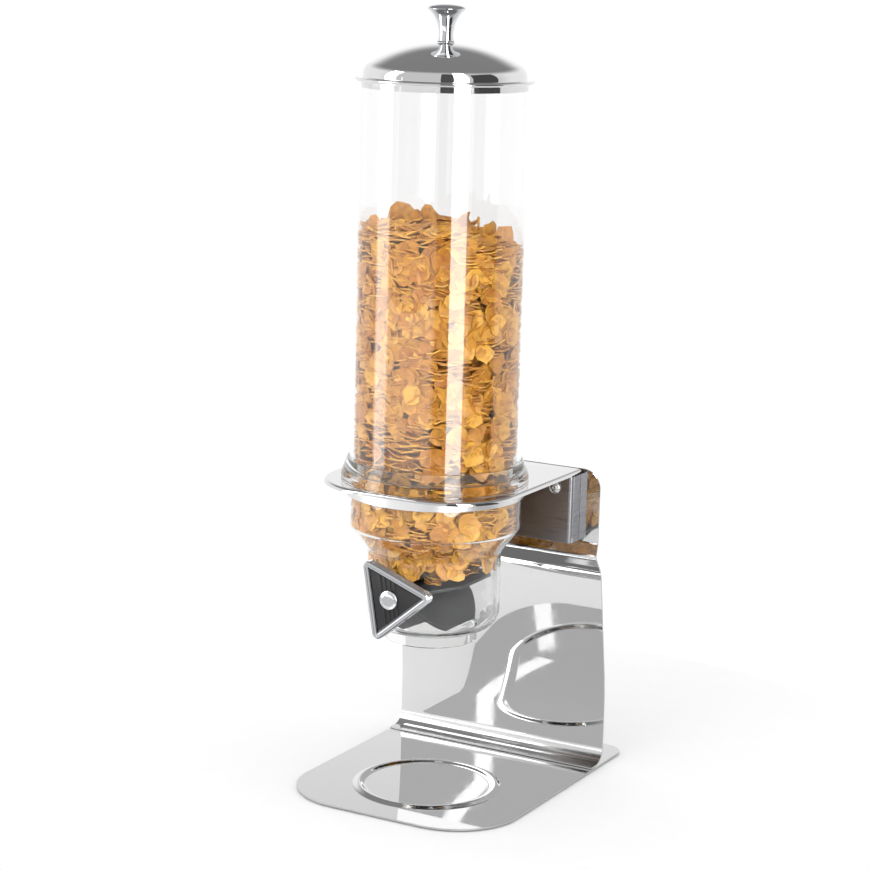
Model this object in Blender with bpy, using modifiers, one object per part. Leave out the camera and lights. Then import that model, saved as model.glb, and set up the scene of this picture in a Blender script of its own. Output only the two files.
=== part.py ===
"""A cereal dispenser. A clear tube and hopper hang in a stand bent from polished steel sheet, and a
triangular knob in front turns the paddle wheel that drops one helping at a time into a bowl.

Metres, +Z up. The front faces -Y, and the origin is on the floor under the middle of the base.
"""

import math

import bmesh
import bpy
from mathutils import Vector

# General
GAP = 0.0003
SHEET = 0.0015
OVERRUN = 0.004
WELD = 0.00001
ROUND_STEPS = 40
SMALL_STEPS = 20
MEDIUM_STEPS = 24
ARC_SAG = 0.0002
SHARP_ANGLE = math.radians(32)
FLAT_ANGLE = math.radians(0.1)

# Base plate and its feet
BASE_WIDTH = 0.200
BASE_DEPTH = 0.264
BASE_FRONT_CORNER = 0.058
BASE_REAR_CORNER = 0.017
BEAD_RADIUS = 0.0572
BEAD_HALF_WIDTH = 0.0056
BEAD_HEIGHT = 0.0022
BEAD_STEPS = 4
FOOT_RADIUS = 0.009
FOOT_THICKNESS = 0.001
FOOT_CHAMFER = 0.0003
FOOT_SIDE_INSET = 0.026
FOOT_FRONT_INSET = 0.030
FOOT_REAR_INSET = 0.016

# Where the clear tube's axis and the upright stand, from the front edge of the base
AXIS_SETBACK = 0.087
UPRIGHT_SETBACK = 0.1905

# Upright: its side outline in shares of how far the heel lies behind it and of the shelf's height
SHELF_HEIGHT = 0.2625
HEEL_SETBACK = 0.0252
UPRIGHT_SHARES = [(0.2, 0), (1, 0), (1, 0.236), (0.337, 0.655), (-0.115, 0.713), (0, 0.758), (0, 1)]
UPRIGHT_BENDS = [0.012, 0.300, 0.030, 0.006, 0.010]
UPRIGHT_CORNER = 0.016

# Shelf and the channel that carries it
HOLE_CLEARANCE = 0.0008
SHELF_SIDE_RIM = 0.0122
SHELF_FRONT_RIM = 0.0057
SHELF_CORNER = 0.058
SHELF_EDGE_BEND = 0.003
COLLAR_DROP = 0.0113
SHELF_TAB_DROP = 0.028
SHELF_TAB_RELIEF = 0.006
SHELF_TAB_BEND = 0.002
CHANNEL_DEPTH = 0.0155
CHANNEL_HEIGHT = 0.060
CHANNEL_CLEARANCE = 0.0005
CHANNEL_BEND = 0.0035

# Bracket fasteners
SCREW_SPREAD = 0.132
SCREW_DROP = 0.0155
SCREW_RADIUS = 0.0025
SCREW_HEAD_RADIUS = 0.0055
SCREW_HEAD_HEIGHT = 0.003
SCREW_TAIL = 0.0015
SOCKET_RADIUS = 0.0016
SOCKET_DEPTH = 0.0018
SPACER_WALL = 0.0022
WASHER_RADIUS = 0.0055
WASHER_THICKNESS = 0.001
NUT_RADIUS = 0.0046
NUT_HEIGHT = 0.004

# Tube
TUBE_RADIUS = 0.070
TUBE_WALL = 0.003
TUBE_LENGTH = 0.3137

# Hopper: radii outside, and depths below the underside of its flange
HOPPER_RADIUS = 0.071
HOPPER_WALL = 0.0025
FLANGE_RADIUS = 0.0765
FLANGE_THICKNESS = 0.0046
TUBE_SEAT = 0.0066
TUBE_SOCKET = 0.011
TUBE_CLEARANCE = 0.0004
SOCKET_WALL = 0.0012
FLANGE_CORNER = 0.004
CHAMBER_RADIUS = 0.056
SPOUT_RADIUS = 0.0378
SHOULDER_DEPTH = 0.0385
CONE_DEPTH = 0.0588
BOWL_DEPTH = 0.1239
SPOUT_DEPTH = 0.1336
HOPPER_BENDS = [0.004, 0.006, 0.0165, 0.0015]

# Bearings in the hopper's wall
WHEEL_DEPTH = 0.0874
BOSS_RADIUS = 0.0145
BOSS_REACH = 0.0035
BUSH_RADIUS = 0.009
BUSH_FLANGE_RADIUS = 0.0135
BUSH_FLANGE = 0.0015
SHAFT_CLEARANCE = 0.0003

# Drive shaft
SHAFT_RADIUS = 0.004
SHAFT_FLAT = 0.0033
SHAFT_TAIL = 0.0025
CLIP_RADIUS = 0.007
CLIP_THICKNESS = 0.0008
CLIP_OPENING = math.radians(70)
CLIP_GROOVE_DEPTH = 0.0008

# Paddle wheel
VANES = 6
WHEEL_TURN = math.radians(10)
VANE_THICKNESS = 0.003
VANE_REACH = 0.043
VANE_HALF_LENGTH = 0.044
SWEEP_RADIUS = 0.0487
HUB_RADIUS = 0.010
HUB_SLOT_DEPTH = 0.004
HUB_END_PLAY = 0.0006

# Front knob
KNOB_REACH = 0.036
KNOB_CORNER = 0.005
KNOB_CORNER_STEPS = 4
KNOB_THICKNESS = 0.0085
KNOB_EDGE = 0.0008
KNOB_RIM = 0.0036
KNOB_RECESS = 0.0026
KNOB_GROOVES = 4
KNOB_GROOVE_DEPTH = 0.0006
KNOB_SOCKET_FLOOR = 0.001
INLAY_THICKNESS = 0.001
INLAY_RIBS = 4
INLAY_RIB_HEIGHT = 0.0007
INLAY_RIB_WIDTH = 0.0012
INLAY_RIB_PITCH = 0.0042
STUD_RADIUS = 0.0078
STUD_HEIGHT = 0.0026
SET_SCREW_RADIUS = 0.0015
SET_SCREW_LENGTH = 0.006

# Lid: a spun head of one large crown radius and one small knuckle radius
LID_SHEET = 0.0012
LID_SKIRT_RADIUS = 0.0652
LID_CROWN_RADIUS = 0.118
LID_KNUCKLE = 0.011
LID_HEIGHT = 0.0299
LID_FLANGE_RADIUS = 0.0716
LID_FLANGE = 0.0022
LID_PLUG_DEPTH = 0.0055
LID_PLUG_CLEARANCE = 0.0006
LID_KNOB_RADIUS = 0.0153
LID_KNOB_HEIGHT = 0.0298
LID_KNOB_SHARES = [
    (0, 1),
    (0.45, 0.99),
    (0.84, 0.945),
    (1, 0.885),
    (0.97, 0.85),
    (0.76, 0.745),
    (0.57, 0.60),
    (0.45, 0.45),
    (0.385, 0.28),
    (0.375, 0.15),
    (0.42, 0.05),
    (0.49, 0),
]
LID_SCREW_RADIUS = 0.002
LID_SCREW_HEAD = 0.0042
LID_SCREW_HEAD_HEIGHT = 0.0026
LID_SCREW_BITE = 0.011
LID_WASHER_RADIUS = 0.0065

# Worked out from the sizes above
BASE_UNDERSIDE = FOOT_THICKNESS + GAP
BASE_TOP = BASE_UNDERSIDE + SHEET
AXIS_Y = AXIS_SETBACK - BASE_DEPTH / 2
UPRIGHT_Y = UPRIGHT_SETBACK - BASE_DEPTH / 2
SHELF_TOP = BASE_TOP + SHELF_HEIGHT
HOLE_RADIUS = HOPPER_RADIUS + HOLE_CLEARANCE
SHELF_HALF_WIDTH = HOLE_RADIUS + SHELF_SIDE_RIM
CHANNEL_HALF_WIDTH = SHELF_HALF_WIDTH - SHEET - CHANNEL_CLEARANCE
CHANNEL_Y = UPRIGHT_Y - CHANNEL_DEPTH
SCREW_Z = SHELF_TOP - SCREW_DROP
SCREW_HOLE_RADIUS = SCREW_RADIUS + GAP
FLANGE_UNDERSIDE = SHELF_TOP + GAP
TUBE_BOTTOM = FLANGE_UNDERSIDE + TUBE_SEAT + GAP
TUBE_TOP = TUBE_BOTTOM + TUBE_LENGTH
LID_BOTTOM = TUBE_TOP + GAP
LID_TOP = LID_BOTTOM + LID_HEIGHT
WHEEL_Z = FLANGE_UNDERSIDE - WHEEL_DEPTH
BOSS_FACE = CHAMBER_RADIUS + BOSS_REACH
BOSS_BACK = math.sqrt((CHAMBER_RADIUS - HOPPER_WALL) ** 2 - BOSS_RADIUS**2)
BUSH_HOLE_RADIUS = BUSH_RADIUS + GAP
BUSH_BORE = SHAFT_RADIUS + SHAFT_CLEARANCE
HUB_HALF_LENGTH = BOSS_BACK - HUB_END_PLAY
BUSH_FACE = BOSS_FACE + GAP + BUSH_FLANGE
KNOB_BACK = BUSH_FACE + GAP
KNOB_FRONT = KNOB_BACK + KNOB_THICKNESS
RECESS_FLOOR = KNOB_FRONT - KNOB_RECESS
SOCKET_END = RECESS_FLOOR - KNOB_SOCKET_FLOOR
SHAFT_FRONT = SOCKET_END - GAP
CLIP_BACK = BUSH_FACE + GAP + CLIP_THICKNESS
SHAFT_REAR = CLIP_BACK + GAP + SHAFT_TAIL
FLAT_TURN = WHEEL_TURN - math.pi / 3

TO_FRONT = (math.pi / 2, 0, 0)
TO_REAR = (-math.pi / 2, 0, 0)
MIDDLE = (0, 0, 0)


def clear_scene():
    for thing in list(bpy.data.objects):
        bpy.data.objects.remove(thing)


def new_collection(name):
    collection = bpy.data.collections.new(name)
    bpy.context.scene.collection.children.link(collection)
    return collection


def new_material(name, colour, roughness, metallic=0.0, alpha=1.0):
    material = bpy.data.materials.new(name)
    material.use_nodes = True
    shader = material.node_tree.nodes["Principled BSDF"]
    shader.inputs["Base Color"].default_value = (*colour, 1)
    shader.inputs["Roughness"].default_value = roughness
    shader.inputs["Metallic"].default_value = metallic
    shader.inputs["Alpha"].default_value = alpha
    material.diffuse_color = (*colour, alpha)
    return material


def mirror_steel():
    return new_material("polished stainless steel", (0.74, 0.74, 0.75), 0.08, 1)


def chrome():
    return new_material("chromed zinc", (0.78, 0.78, 0.80), 0.06, 1)


def fastener_steel():
    return new_material("stainless fastener steel", (0.55, 0.55, 0.56), 0.28, 1)


def clear_plastic():
    return new_material("clear copolyester", (0.93, 0.95, 0.96), 0.04, alpha=0.3)


def black_silicone():
    return new_material("black silicone", (0.02, 0.02, 0.022), 0.5)


def black_nylon():
    return new_material("black nylon", (0.03, 0.03, 0.032), 0.4)


def grey_rubber():
    return new_material("grey rubber", (0.16, 0.16, 0.17), 0.8)


def new_empty(name, place, turn=MIDDLE):
    empty = bpy.data.objects.new(name, None)
    empty.location = place
    empty.rotation_euler = turn
    PARTS.objects.link(empty)
    return empty


def add_piece(name, mesh, material=None, place=MIDDLE, turn=MIDDLE, parent=None):
    """A finished piece, or a hidden cutter where no material is given."""
    piece = bpy.data.objects.new(name, mesh)
    piece.location = place
    piece.rotation_euler = turn
    piece.parent = parent
    if material:
        mesh.materials.append(material)
        PARTS.objects.link(piece)
    else:
        piece.hide_render = True
        piece.display_type = "WIRE"
        CUTTERS.objects.link(piece)
    return piece


def shape(piece, tool, operation="DIFFERENCE"):
    step = piece.modifiers.new(tool.name, "BOOLEAN")
    step.operation = operation
    step.solver = "EXACT"
    step.object = tool


def shade(mesh):
    mesh.shade_smooth()
    mesh.set_sharp_from_angle(angle=SHARP_ANGLE)


def arc_steps(radius, sweep):
    """How many chords keep within ARC_SAG of this arc."""
    if radius <= ARC_SAG:
        return 2
    return max(2, math.ceil(abs(sweep) / (2 * math.acos(1 - ARC_SAG / radius))))


def corner_arc(before, corner, after, radius, steps=None):
    """Points of the arc that rounds one corner, no wider than half of either side."""
    corner = Vector(corner)
    back, ahead = Vector(before) - corner, Vector(after) - corner
    half_angle = back.angle(ahead) / 2
    reach = min(radius / math.tan(half_angle), back.length / 2, ahead.length / 2)
    radius = reach * math.tan(half_angle)
    middle = corner + (back.normalized() + ahead.normalized()).normalized() * (
        radius / math.sin(half_angle)
    )
    start = corner + back.normalized() * reach - middle
    end = corner + ahead.normalized() * reach - middle
    turn = start.angle_signed(end)
    steps = steps or arc_steps(radius, turn)
    points = []
    for step in range(steps + 1):
        angle = -turn * step / steps
        cosine, sine = math.cos(angle), math.sin(angle)
        x, y = start
        points.append((middle.x + x * cosine - y * sine, middle.y + x * sine + y * cosine))
    return points


def rounded_path(corners, radii, steps=None):
    """An open outline whose inner corners are rounded by these radii, in turn."""
    points = [tuple(corners[0])]
    for index, radius in enumerate(radii, start=1):
        points += corner_arc(*corners[index - 1 : index + 2], radius, steps)
    return points + [tuple(corners[-1])]


def rounded_loop(corners, radii, steps=None):
    count = len(corners)
    points = []
    for index, radius in enumerate(radii):
        following = corners[(index + 1) % count]
        points += corner_arc(corners[index - 1], corners[index], following, radius, steps)
    return points


def shifted(path, distance):
    """The open path moved sideways, to the left of its direction, by this distance."""
    path = [Vector(point) for point in path]
    normals = [(b - a).orthogonal().normalized() for a, b in zip(path, path[1:])]
    moved = [tuple(path[0] + normals[0] * distance)]
    for point, first, second in zip(path[1:], normals, normals[1:]):
        mitre = (first + second).normalized()
        moved.append(tuple(point + mitre * (distance / mitre.dot(second))))
    return moved + [tuple(path[-1] + normals[-1] * distance)]


def sheet_section(path, thickness):
    """The closed outline of a bent sheet, from the path of one of its faces."""
    return path + shifted(path, thickness)[::-1]


def circle(radius, steps=SMALL_STEPS):
    angles = [2 * math.pi * step / steps for step in range(steps)]
    return [(radius * math.cos(angle), radius * math.sin(angle)) for angle in angles]


def flat_mesh(name, outlines, thickness):
    """A plate of this outline, the further outlines being its holes, half of it to each side."""
    curve = bpy.data.curves.new(name, "CURVE")
    curve.dimensions = "2D"
    curve.fill_mode = "BOTH"
    curve.extrude = thickness / 2
    for outline in outlines:
        spline = curve.splines.new("POLY")
        spline.points.add(len(outline) - 1)
        for point, (x, y) in zip(spline.points, outline):
            point.co = (x, y, 0, 1)
        spline.use_cyclic_u = True
    guide = bpy.data.objects.new(name, curve)
    CUTTERS.objects.link(guide)
    graph = bpy.context.evaluated_depsgraph_get()
    mesh = bpy.data.meshes.new_from_object(guide.evaluated_get(graph))
    bpy.data.objects.remove(guide)
    form = bmesh.new()
    form.from_mesh(mesh)
    bmesh.ops.remove_doubles(form, verts=form.verts, dist=WELD)
    bmesh.ops.dissolve_limit(form, angle_limit=FLAT_ANGLE, verts=form.verts, edges=form.edges)
    form.to_mesh(mesh)
    form.free()
    shade(mesh)
    return mesh


def turned_piece(name, profile, material=None, steps=ROUND_STEPS, closed=True, **where):
    """A profile of radii and heights, top to bottom down its outer side, turned round its axis."""
    form = bmesh.new()
    points = [form.verts.new((radius, 0, height)) for radius, height in profile]
    for first, second in zip(points, points[1:]):
        form.edges.new((first, second))
    if closed:
        form.edges.new((points[-1], points[0]))
    mesh = bpy.data.meshes.new(name)
    form.to_mesh(mesh)
    form.free()
    piece = add_piece(name, mesh, material, **where)
    turning = piece.modifiers.new("turning", "SCREW")
    turning.steps = turning.render_steps = steps
    turning.use_merge_vertices = True
    turning.merge_threshold = WELD
    return piece


def lofted_mesh(name, rings, closed, caps):
    """Faces between rings of as many points each, counted anticlockwise and going up."""
    form = bmesh.new()
    rows = [[form.verts.new(point) for point in ring] for ring in rings]
    count = len(rows[0])
    for lower, upper in zip(rows, rows[1:]):
        for index in range(count if closed else count - 1):
            following = (index + 1) % count
            form.faces.new((lower[index], lower[following], upper[following], upper[index]))
    if "first" in caps:
        form.faces.new(rows[0][::-1])
    if "last" in caps:
        form.faces.new(rows[-1])
    mesh = bpy.data.meshes.new(name)
    form.to_mesh(mesh)
    form.free()
    shade(mesh)
    return mesh


def rod_mesh(name, radius, length, steps=SMALL_STEPS):
    form = bmesh.new()
    bmesh.ops.create_cone(
        form, cap_ends=True, segments=steps, radius1=radius, radius2=radius, depth=length
    )
    mesh = bpy.data.meshes.new(name)
    form.to_mesh(mesh)
    form.free()
    shade(mesh)
    return mesh


def block_mesh(name, size):
    form = bmesh.new()
    bmesh.ops.create_cube(form, size=1)
    bmesh.ops.scale(form, vec=size, verts=form.verts)
    mesh = bpy.data.meshes.new(name)
    form.to_mesh(mesh)
    form.free()
    return mesh


def bead_section(half_width, height, bottom):
    """Section of the pressed ring: half an ellipse over a straight foot."""
    angles = [math.pi * step / BEAD_STEPS for step in range(BEAD_STEPS + 1)]
    arch = [(BEAD_RADIUS - half_width * math.cos(a), height * math.sin(a)) for a in angles]
    return arch + [(BEAD_RADIUS + half_width, bottom), (BEAD_RADIUS - half_width, bottom)]


def make_base_plate():
    """One flat sheet with large front corners and a pressed ring that marks the bowl's place."""
    half_width, half_depth = BASE_WIDTH / 2, BASE_DEPTH / 2
    corners = [
        (-half_width, -half_depth),
        (half_width, -half_depth),
        (half_width, half_depth),
        (-half_width, half_depth),
    ]
    radii = [BASE_FRONT_CORNER, BASE_FRONT_CORNER, BASE_REAR_CORNER, BASE_REAR_CORNER]
    plate = add_piece(
        "base_plate",
        flat_mesh("base_plate", [rounded_loop(corners, radii)], SHEET),
        MIRROR,
        place=(0, 0, BASE_UNDERSIDE + SHEET / 2),
    )
    bead = turned_piece(
        "base_bead",
        bead_section(BEAD_HALF_WIDTH, BEAD_HEIGHT, -SHEET / 2),
        place=(0, AXIS_Y, BASE_TOP),
    )
    groove = turned_piece(
        "base_bead_groove",
        bead_section(BEAD_HALF_WIDTH - SHEET, BEAD_HEIGHT, -OVERRUN),
        place=(0, AXIS_Y, BASE_UNDERSIDE),
    )
    shape(plate, bead, "UNION")
    shape(plate, groove)


def make_feet():
    """Four thin stick-on pads under the corners of the base."""
    side = BASE_WIDTH / 2 - FOOT_SIDE_INSET
    front = -BASE_DEPTH / 2 + FOOT_FRONT_INSET
    rear = BASE_DEPTH / 2 - FOOT_REAR_INSET
    profile = [
        (0, FOOT_THICKNESS),
        (FOOT_RADIUS, FOOT_THICKNESS),
        (FOOT_RADIUS, FOOT_CHAMFER),
        (FOOT_RADIUS - FOOT_CHAMFER, 0),
        (0, 0),
    ]
    for row, y in (("front", front), ("rear", rear)):
        for hand, x in (("left", -side), ("right", side)):
            turned_piece(
                f"foot_pad_{row}_{hand}",
                profile,
                RUBBER,
                steps=SMALL_STEPS,
                closed=False,
                place=(x, y, 0),
            )


def screw_hole(name, x):
    length = CHANNEL_DEPTH + OVERRUN + OVERRUN
    return add_piece(
        name,
        rod_mesh(name, SCREW_HOLE_RADIUS, length),
        place=(x, UPRIGHT_Y - CHANNEL_DEPTH / 2, SCREW_Z),
        turn=TO_FRONT,
    )


def make_upright(holes):
    """The back plate: one sheet bent to a rounded heel, a forward lean and a step under the shelf."""
    foot_top = BASE_TOP + GAP + SHEET
    path = [(HEEL_SETBACK * y, (SHELF_TOP - foot_top) * z) for y, z in UPRIGHT_SHARES]
    section = sheet_section(rounded_path(path, UPRIGHT_BENDS), -SHEET)
    plate = add_piece(
        "back_plate",
        flat_mesh("back_plate", [section], BASE_WIDTH + 2 * OVERRUN),
        MIRROR,
        place=(0, UPRIGHT_Y, foot_top),
        turn=(math.pi / 2, 0, math.pi / 2),
    )
    half_width = BASE_WIDTH / 2
    corners = [
        (half_width, -OVERRUN),
        (half_width, SHELF_HEIGHT),
        (-half_width, SHELF_HEIGHT),
        (-half_width, -OVERRUN),
    ]
    front = rounded_path(corners, [UPRIGHT_CORNER, UPRIGHT_CORNER])
    outline = add_piece(
        "back_plate_outline",
        flat_mesh("back_plate_outline", [front], BASE_DEPTH),
        place=(0, 0, BASE_TOP),
        turn=TO_FRONT,
    )
    shape(plate, outline, "INTERSECT")
    for hole in holes:
        shape(plate, hole)


def shelf_surface():
    """Top face of the shelf's sheet, with its front and side edges and its rear tab bent down."""
    rear = UPRIGHT_Y - GAP
    corner_steps = arc_steps(SHELF_CORNER, math.pi / 2)

    def outline(inset, height):
        side, front = SHELF_HALF_WIDTH - inset, AXIS_Y - HOLE_RADIUS - SHELF_FRONT_RIM + inset
        corners = [(-side, rear), (-side, front), (side, front), (side, rear)]
        path = rounded_path(corners, [SHELF_CORNER - inset] * 2, corner_steps)
        return [(x, y, height) for x, y in path]

    rings = []
    steps = arc_steps(SHELF_EDGE_BEND, math.pi / 2)
    for step in range(steps + 1):
        angle = math.pi / 2 * step / steps
        inset = SHELF_EDGE_BEND * (1 - math.cos(angle))
        rings.append(outline(inset, SHELF_EDGE_BEND * (math.sin(angle) - 1)))
    tab_x = SHELF_HALF_WIDTH - SHELF_EDGE_BEND - SHELF_TAB_RELIEF
    form = bmesh.new()
    form.from_mesh(lofted_mesh("shelf_edge", rings, closed=False, caps=()))
    form.verts.ensure_lookup_table()
    top = list(form.verts[-len(rings[0]) :])
    tab = [form.verts.new((x, rear, 0)) for x in (tab_x, -tab_x)]
    form.faces.new(top + tab)
    steps = arc_steps(SHELF_TAB_BEND, math.pi / 2)
    for step in range(1, steps + 1):
        angle = math.pi / 2 * step / steps
        height = SHELF_TAB_BEND * (math.cos(angle) - 1)
        depth = rear + SHELF_TAB_BEND * math.sin(angle)
        lower = [form.verts.new((x, depth, height)) for x in (tab_x, -tab_x)]
        form.faces.new((tab[0], lower[0], lower[1], tab[1]))
        tab = lower
    lower = [form.verts.new((x, rear + SHELF_TAB_BEND, -SHELF_TAB_DROP)) for x in (tab_x, -tab_x)]
    form.faces.new((tab[0], lower[0], lower[1], tab[1]))
    for vertex in form.verts:
        if vertex.co.y >= rear - WELD:
            vertex.co.y -= SHELF_TAB_BEND
    bmesh.ops.recalc_face_normals(form, faces=form.faces)
    mesh = bpy.data.meshes.new("shelf_plate")
    form.to_mesh(mesh)
    form.free()
    shade(mesh)
    return mesh


def make_shelf(holes):
    """The shelf, with a drawn collar that steadies the hopper under its flange."""
    shelf = add_piece("shelf_plate", shelf_surface(), MIRROR, place=(0, 0, SHELF_TOP))
    wall = shelf.modifiers.new("sheet", "SOLIDIFY")
    wall.thickness = SHEET
    wall.use_even_offset = True
    collar_height = COLLAR_DROP - SHEET / 2
    collar = add_piece(
        "shelf_collar",
        rod_mesh("shelf_collar", HOLE_RADIUS + SHEET, collar_height, ROUND_STEPS),
        place=(0, AXIS_Y, SHELF_TOP - COLLAR_DROP + collar_height / 2),
    )
    opening = add_piece(
        "shelf_hole",
        rod_mesh("shelf_hole", HOLE_RADIUS, 2 * (COLLAR_DROP + OVERRUN), ROUND_STEPS),
        place=(0, AXIS_Y, SHELF_TOP),
    )
    shape(shelf, collar, "UNION")
    shape(shelf, opening)
    for hole in holes:
        shape(shelf, hole)


def make_channel(holes):
    """The U-shaped panel under the shelf, which stands off the upright and stiffens it."""
    depth = CHANNEL_DEPTH - GAP
    corners = [
        (-CHANNEL_HALF_WIDTH, depth),
        (-CHANNEL_HALF_WIDTH, 0),
        (CHANNEL_HALF_WIDTH, 0),
        (CHANNEL_HALF_WIDTH, depth),
    ]
    section = sheet_section(rounded_path(corners, [CHANNEL_BEND, CHANNEL_BEND]), SHEET)
    top = SHELF_TOP - SHEET - GAP
    channel = add_piece(
        "bracket_channel",
        flat_mesh("bracket_channel", [section], CHANNEL_HEIGHT),
        MIRROR,
        place=(0, CHANNEL_Y, top - CHANNEL_HEIGHT / 2),
    )
    notch_start = SHELF_HALF_WIDTH - SHELF_EDGE_BEND - SHEET
    size = (SHELF_EDGE_BEND + OVERRUN, CHANNEL_DEPTH + OVERRUN, 2 * SHELF_EDGE_BEND)
    for hand, side in (("left", -1), ("right", 1)):
        name = f"channel_notch_{hand}"
        place = (side * (notch_start + size[0] / 2), (CHANNEL_Y + UPRIGHT_Y) / 2, top)
        shape(channel, add_piece(name, block_mesh(name, size), place=place))
    for hole in holes:
        shape(channel, hole)


def dome_screw(radius, head_radius, head_height, length):
    """Profile of a dome-head screw with its head up and the underside of the head at height 0."""
    start = math.asin(SOCKET_RADIUS / head_radius)
    steps = arc_steps(head_radius, math.pi / 2 - start)
    angles = [start + (math.pi / 2 - start) * step / steps for step in range(steps + 1)]
    head = [(head_radius * math.sin(a), head_height * math.cos(a)) for a in angles]
    recess = [(0, head_height - SOCKET_DEPTH), (SOCKET_RADIUS, head_height - SOCKET_DEPTH)]
    shank = [(radius, 0), (radius, -length + radius / 4), (radius * 3 / 4, -length), (0, -length)]
    return recess + head + shank


def make_bracket_fasteners():
    """At each side a screw goes through channel, spacer, shelf tab and upright to a nut behind."""
    spacer_front = CHANNEL_Y + SHEET + GAP
    spacer_rear = UPRIGHT_Y - SHEET - GAP - GAP
    washer_front = UPRIGHT_Y + SHEET + GAP
    nut_front = washer_front + WASHER_THICKNESS + GAP
    shank = nut_front + NUT_HEIGHT + SCREW_TAIL - CHANNEL_Y
    for hand, x in (("left", -SCREW_SPREAD / 2), ("right", SCREW_SPREAD / 2)):
        turned_piece(
            f"bracket_screw_{hand}",
            dome_screw(SCREW_RADIUS, SCREW_HEAD_RADIUS, SCREW_HEAD_HEIGHT, shank),
            FASTENER,
            steps=SMALL_STEPS,
            closed=False,
            place=(x, CHANNEL_Y - GAP, SCREW_Z),
            turn=TO_FRONT,
        )
        rings = (
            ("spacer", SCREW_HOLE_RADIUS + SPACER_WALL, spacer_front, spacer_rear, SMALL_STEPS),
            ("washer", WASHER_RADIUS, washer_front, washer_front + WASHER_THICKNESS, SMALL_STEPS),
            ("nut", NUT_RADIUS, nut_front, nut_front + NUT_HEIGHT, 6),
        )
        for kind, radius, front, rear, sides in rings:
            name = f"bracket_{kind}_{hand}"
            outlines = [circle(radius, sides), circle(SCREW_HOLE_RADIUS)]
            add_piece(
                name,
                flat_mesh(name, outlines, rear - front),
                FASTENER,
                place=(x, (front + rear) / 2, SCREW_Z),
                turn=TO_FRONT,
            )


def hopper_profile():
    """Socket for the tube, flange, funnel, wheel chamber and spout, all in one clear moulding."""
    socket_radius = TUBE_RADIUS + TUBE_CLEARANCE
    seat = TUBE_SEAT
    socket_top = seat + TUBE_SOCKET
    collar = rounded_path(
        [
            (socket_radius + SOCKET_WALL, socket_top),
            (FLANGE_RADIUS, FLANGE_THICKNESS),
            (FLANGE_RADIUS, 0),
        ],
        [FLANGE_CORNER],
    )
    outside = rounded_path(
        [
            (HOPPER_RADIUS, 0),
            (HOPPER_RADIUS, -SHOULDER_DEPTH),
            (CHAMBER_RADIUS, -CONE_DEPTH),
            (CHAMBER_RADIUS, -BOWL_DEPTH),
            (SPOUT_RADIUS, -BOWL_DEPTH),
            (SPOUT_RADIUS, -SPOUT_DEPTH),
        ],
        HOPPER_BENDS,
    )
    inside = shifted(outside, -HOPPER_WALL)[::-1]
    inside[-1] = (HOPPER_RADIUS - HOPPER_WALL, seat)
    return collar + outside + inside + [(socket_radius, seat), (socket_radius, socket_top)]


def make_hopper():
    hopper = turned_piece(
        "hopper", hopper_profile(), CLEAR, place=(0, AXIS_Y, FLANGE_UNDERSIDE)
    )
    wheel_centre = (0, AXIS_Y, WHEEL_Z)
    boss_length = BOSS_FACE - BOSS_BACK
    for side, name in ((-1, "boss_front"), (1, "boss_rear")):
        boss = add_piece(
            name,
            rod_mesh(name, BOSS_RADIUS, boss_length),
            place=(0, AXIS_Y + side * (BOSS_BACK + BOSS_FACE) / 2, WHEEL_Z),
            turn=TO_FRONT,
        )
        shape(hopper, boss, "UNION")
    bore = add_piece(
        "bush_bore",
        rod_mesh("bush_bore", BUSH_HOLE_RADIUS, 2 * (BOSS_FACE + OVERRUN)),
        place=wheel_centre,
        turn=TO_FRONT,
    )
    shape(hopper, bore)


def make_bushes():
    """Flanged bearing bushes that push into the hopper's bosses from outside."""
    profile = [
        (BUSH_BORE, BUSH_FACE),
        (BUSH_FLANGE_RADIUS, BUSH_FACE),
        (BUSH_FLANGE_RADIUS, BOSS_FACE + GAP),
        (BUSH_RADIUS, BOSS_FACE + GAP),
        (BUSH_RADIUS, BOSS_BACK),
        (BUSH_BORE, BOSS_BACK),
    ]
    for name, turn in (("front_bush", TO_FRONT), ("rear_bush", TO_REAR)):
        turned_piece(
            name, profile, NYLON, steps=SMALL_STEPS, place=(0, AXIS_Y, WHEEL_Z), turn=turn
        )


def make_tube():
    profile = [
        (TUBE_RADIUS - TUBE_WALL, TUBE_LENGTH),
        (TUBE_RADIUS, TUBE_LENGTH),
        (TUBE_RADIUS, 0),
        (TUBE_RADIUS - TUBE_WALL, 0),
    ]
    turned_piece("tube", profile, CLEAR, place=(0, AXIS_Y, TUBE_BOTTOM))


def crown_path(skirt_radius, crown_radius, knuckle, start_radius):
    """Radii and drops of a spun head, from near its middle out to where its skirt turns upright."""
    centre_gap = crown_radius - knuckle
    knuckle_middle = skirt_radius - knuckle
    rise = math.sqrt(centre_gap**2 - knuckle_middle**2)
    meeting = math.atan2(knuckle_middle, rise)
    start = math.asin(start_radius / crown_radius)
    points = []
    steps = arc_steps(crown_radius, meeting - start)
    for step in range(steps + 1):
        angle = start + (meeting - start) * step / steps
        points.append((crown_radius * math.sin(angle), crown_radius * (math.cos(angle) - 1)))
    steps = arc_steps(knuckle, math.pi / 2 - meeting)
    for step in range(1, steps + 1):
        angle = meeting + (math.pi / 2 - meeting) * step / steps
        points.append(
            (
                knuckle_middle + knuckle * math.sin(angle),
                rise - crown_radius + knuckle * math.cos(angle),
            )
        )
    return points


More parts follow.
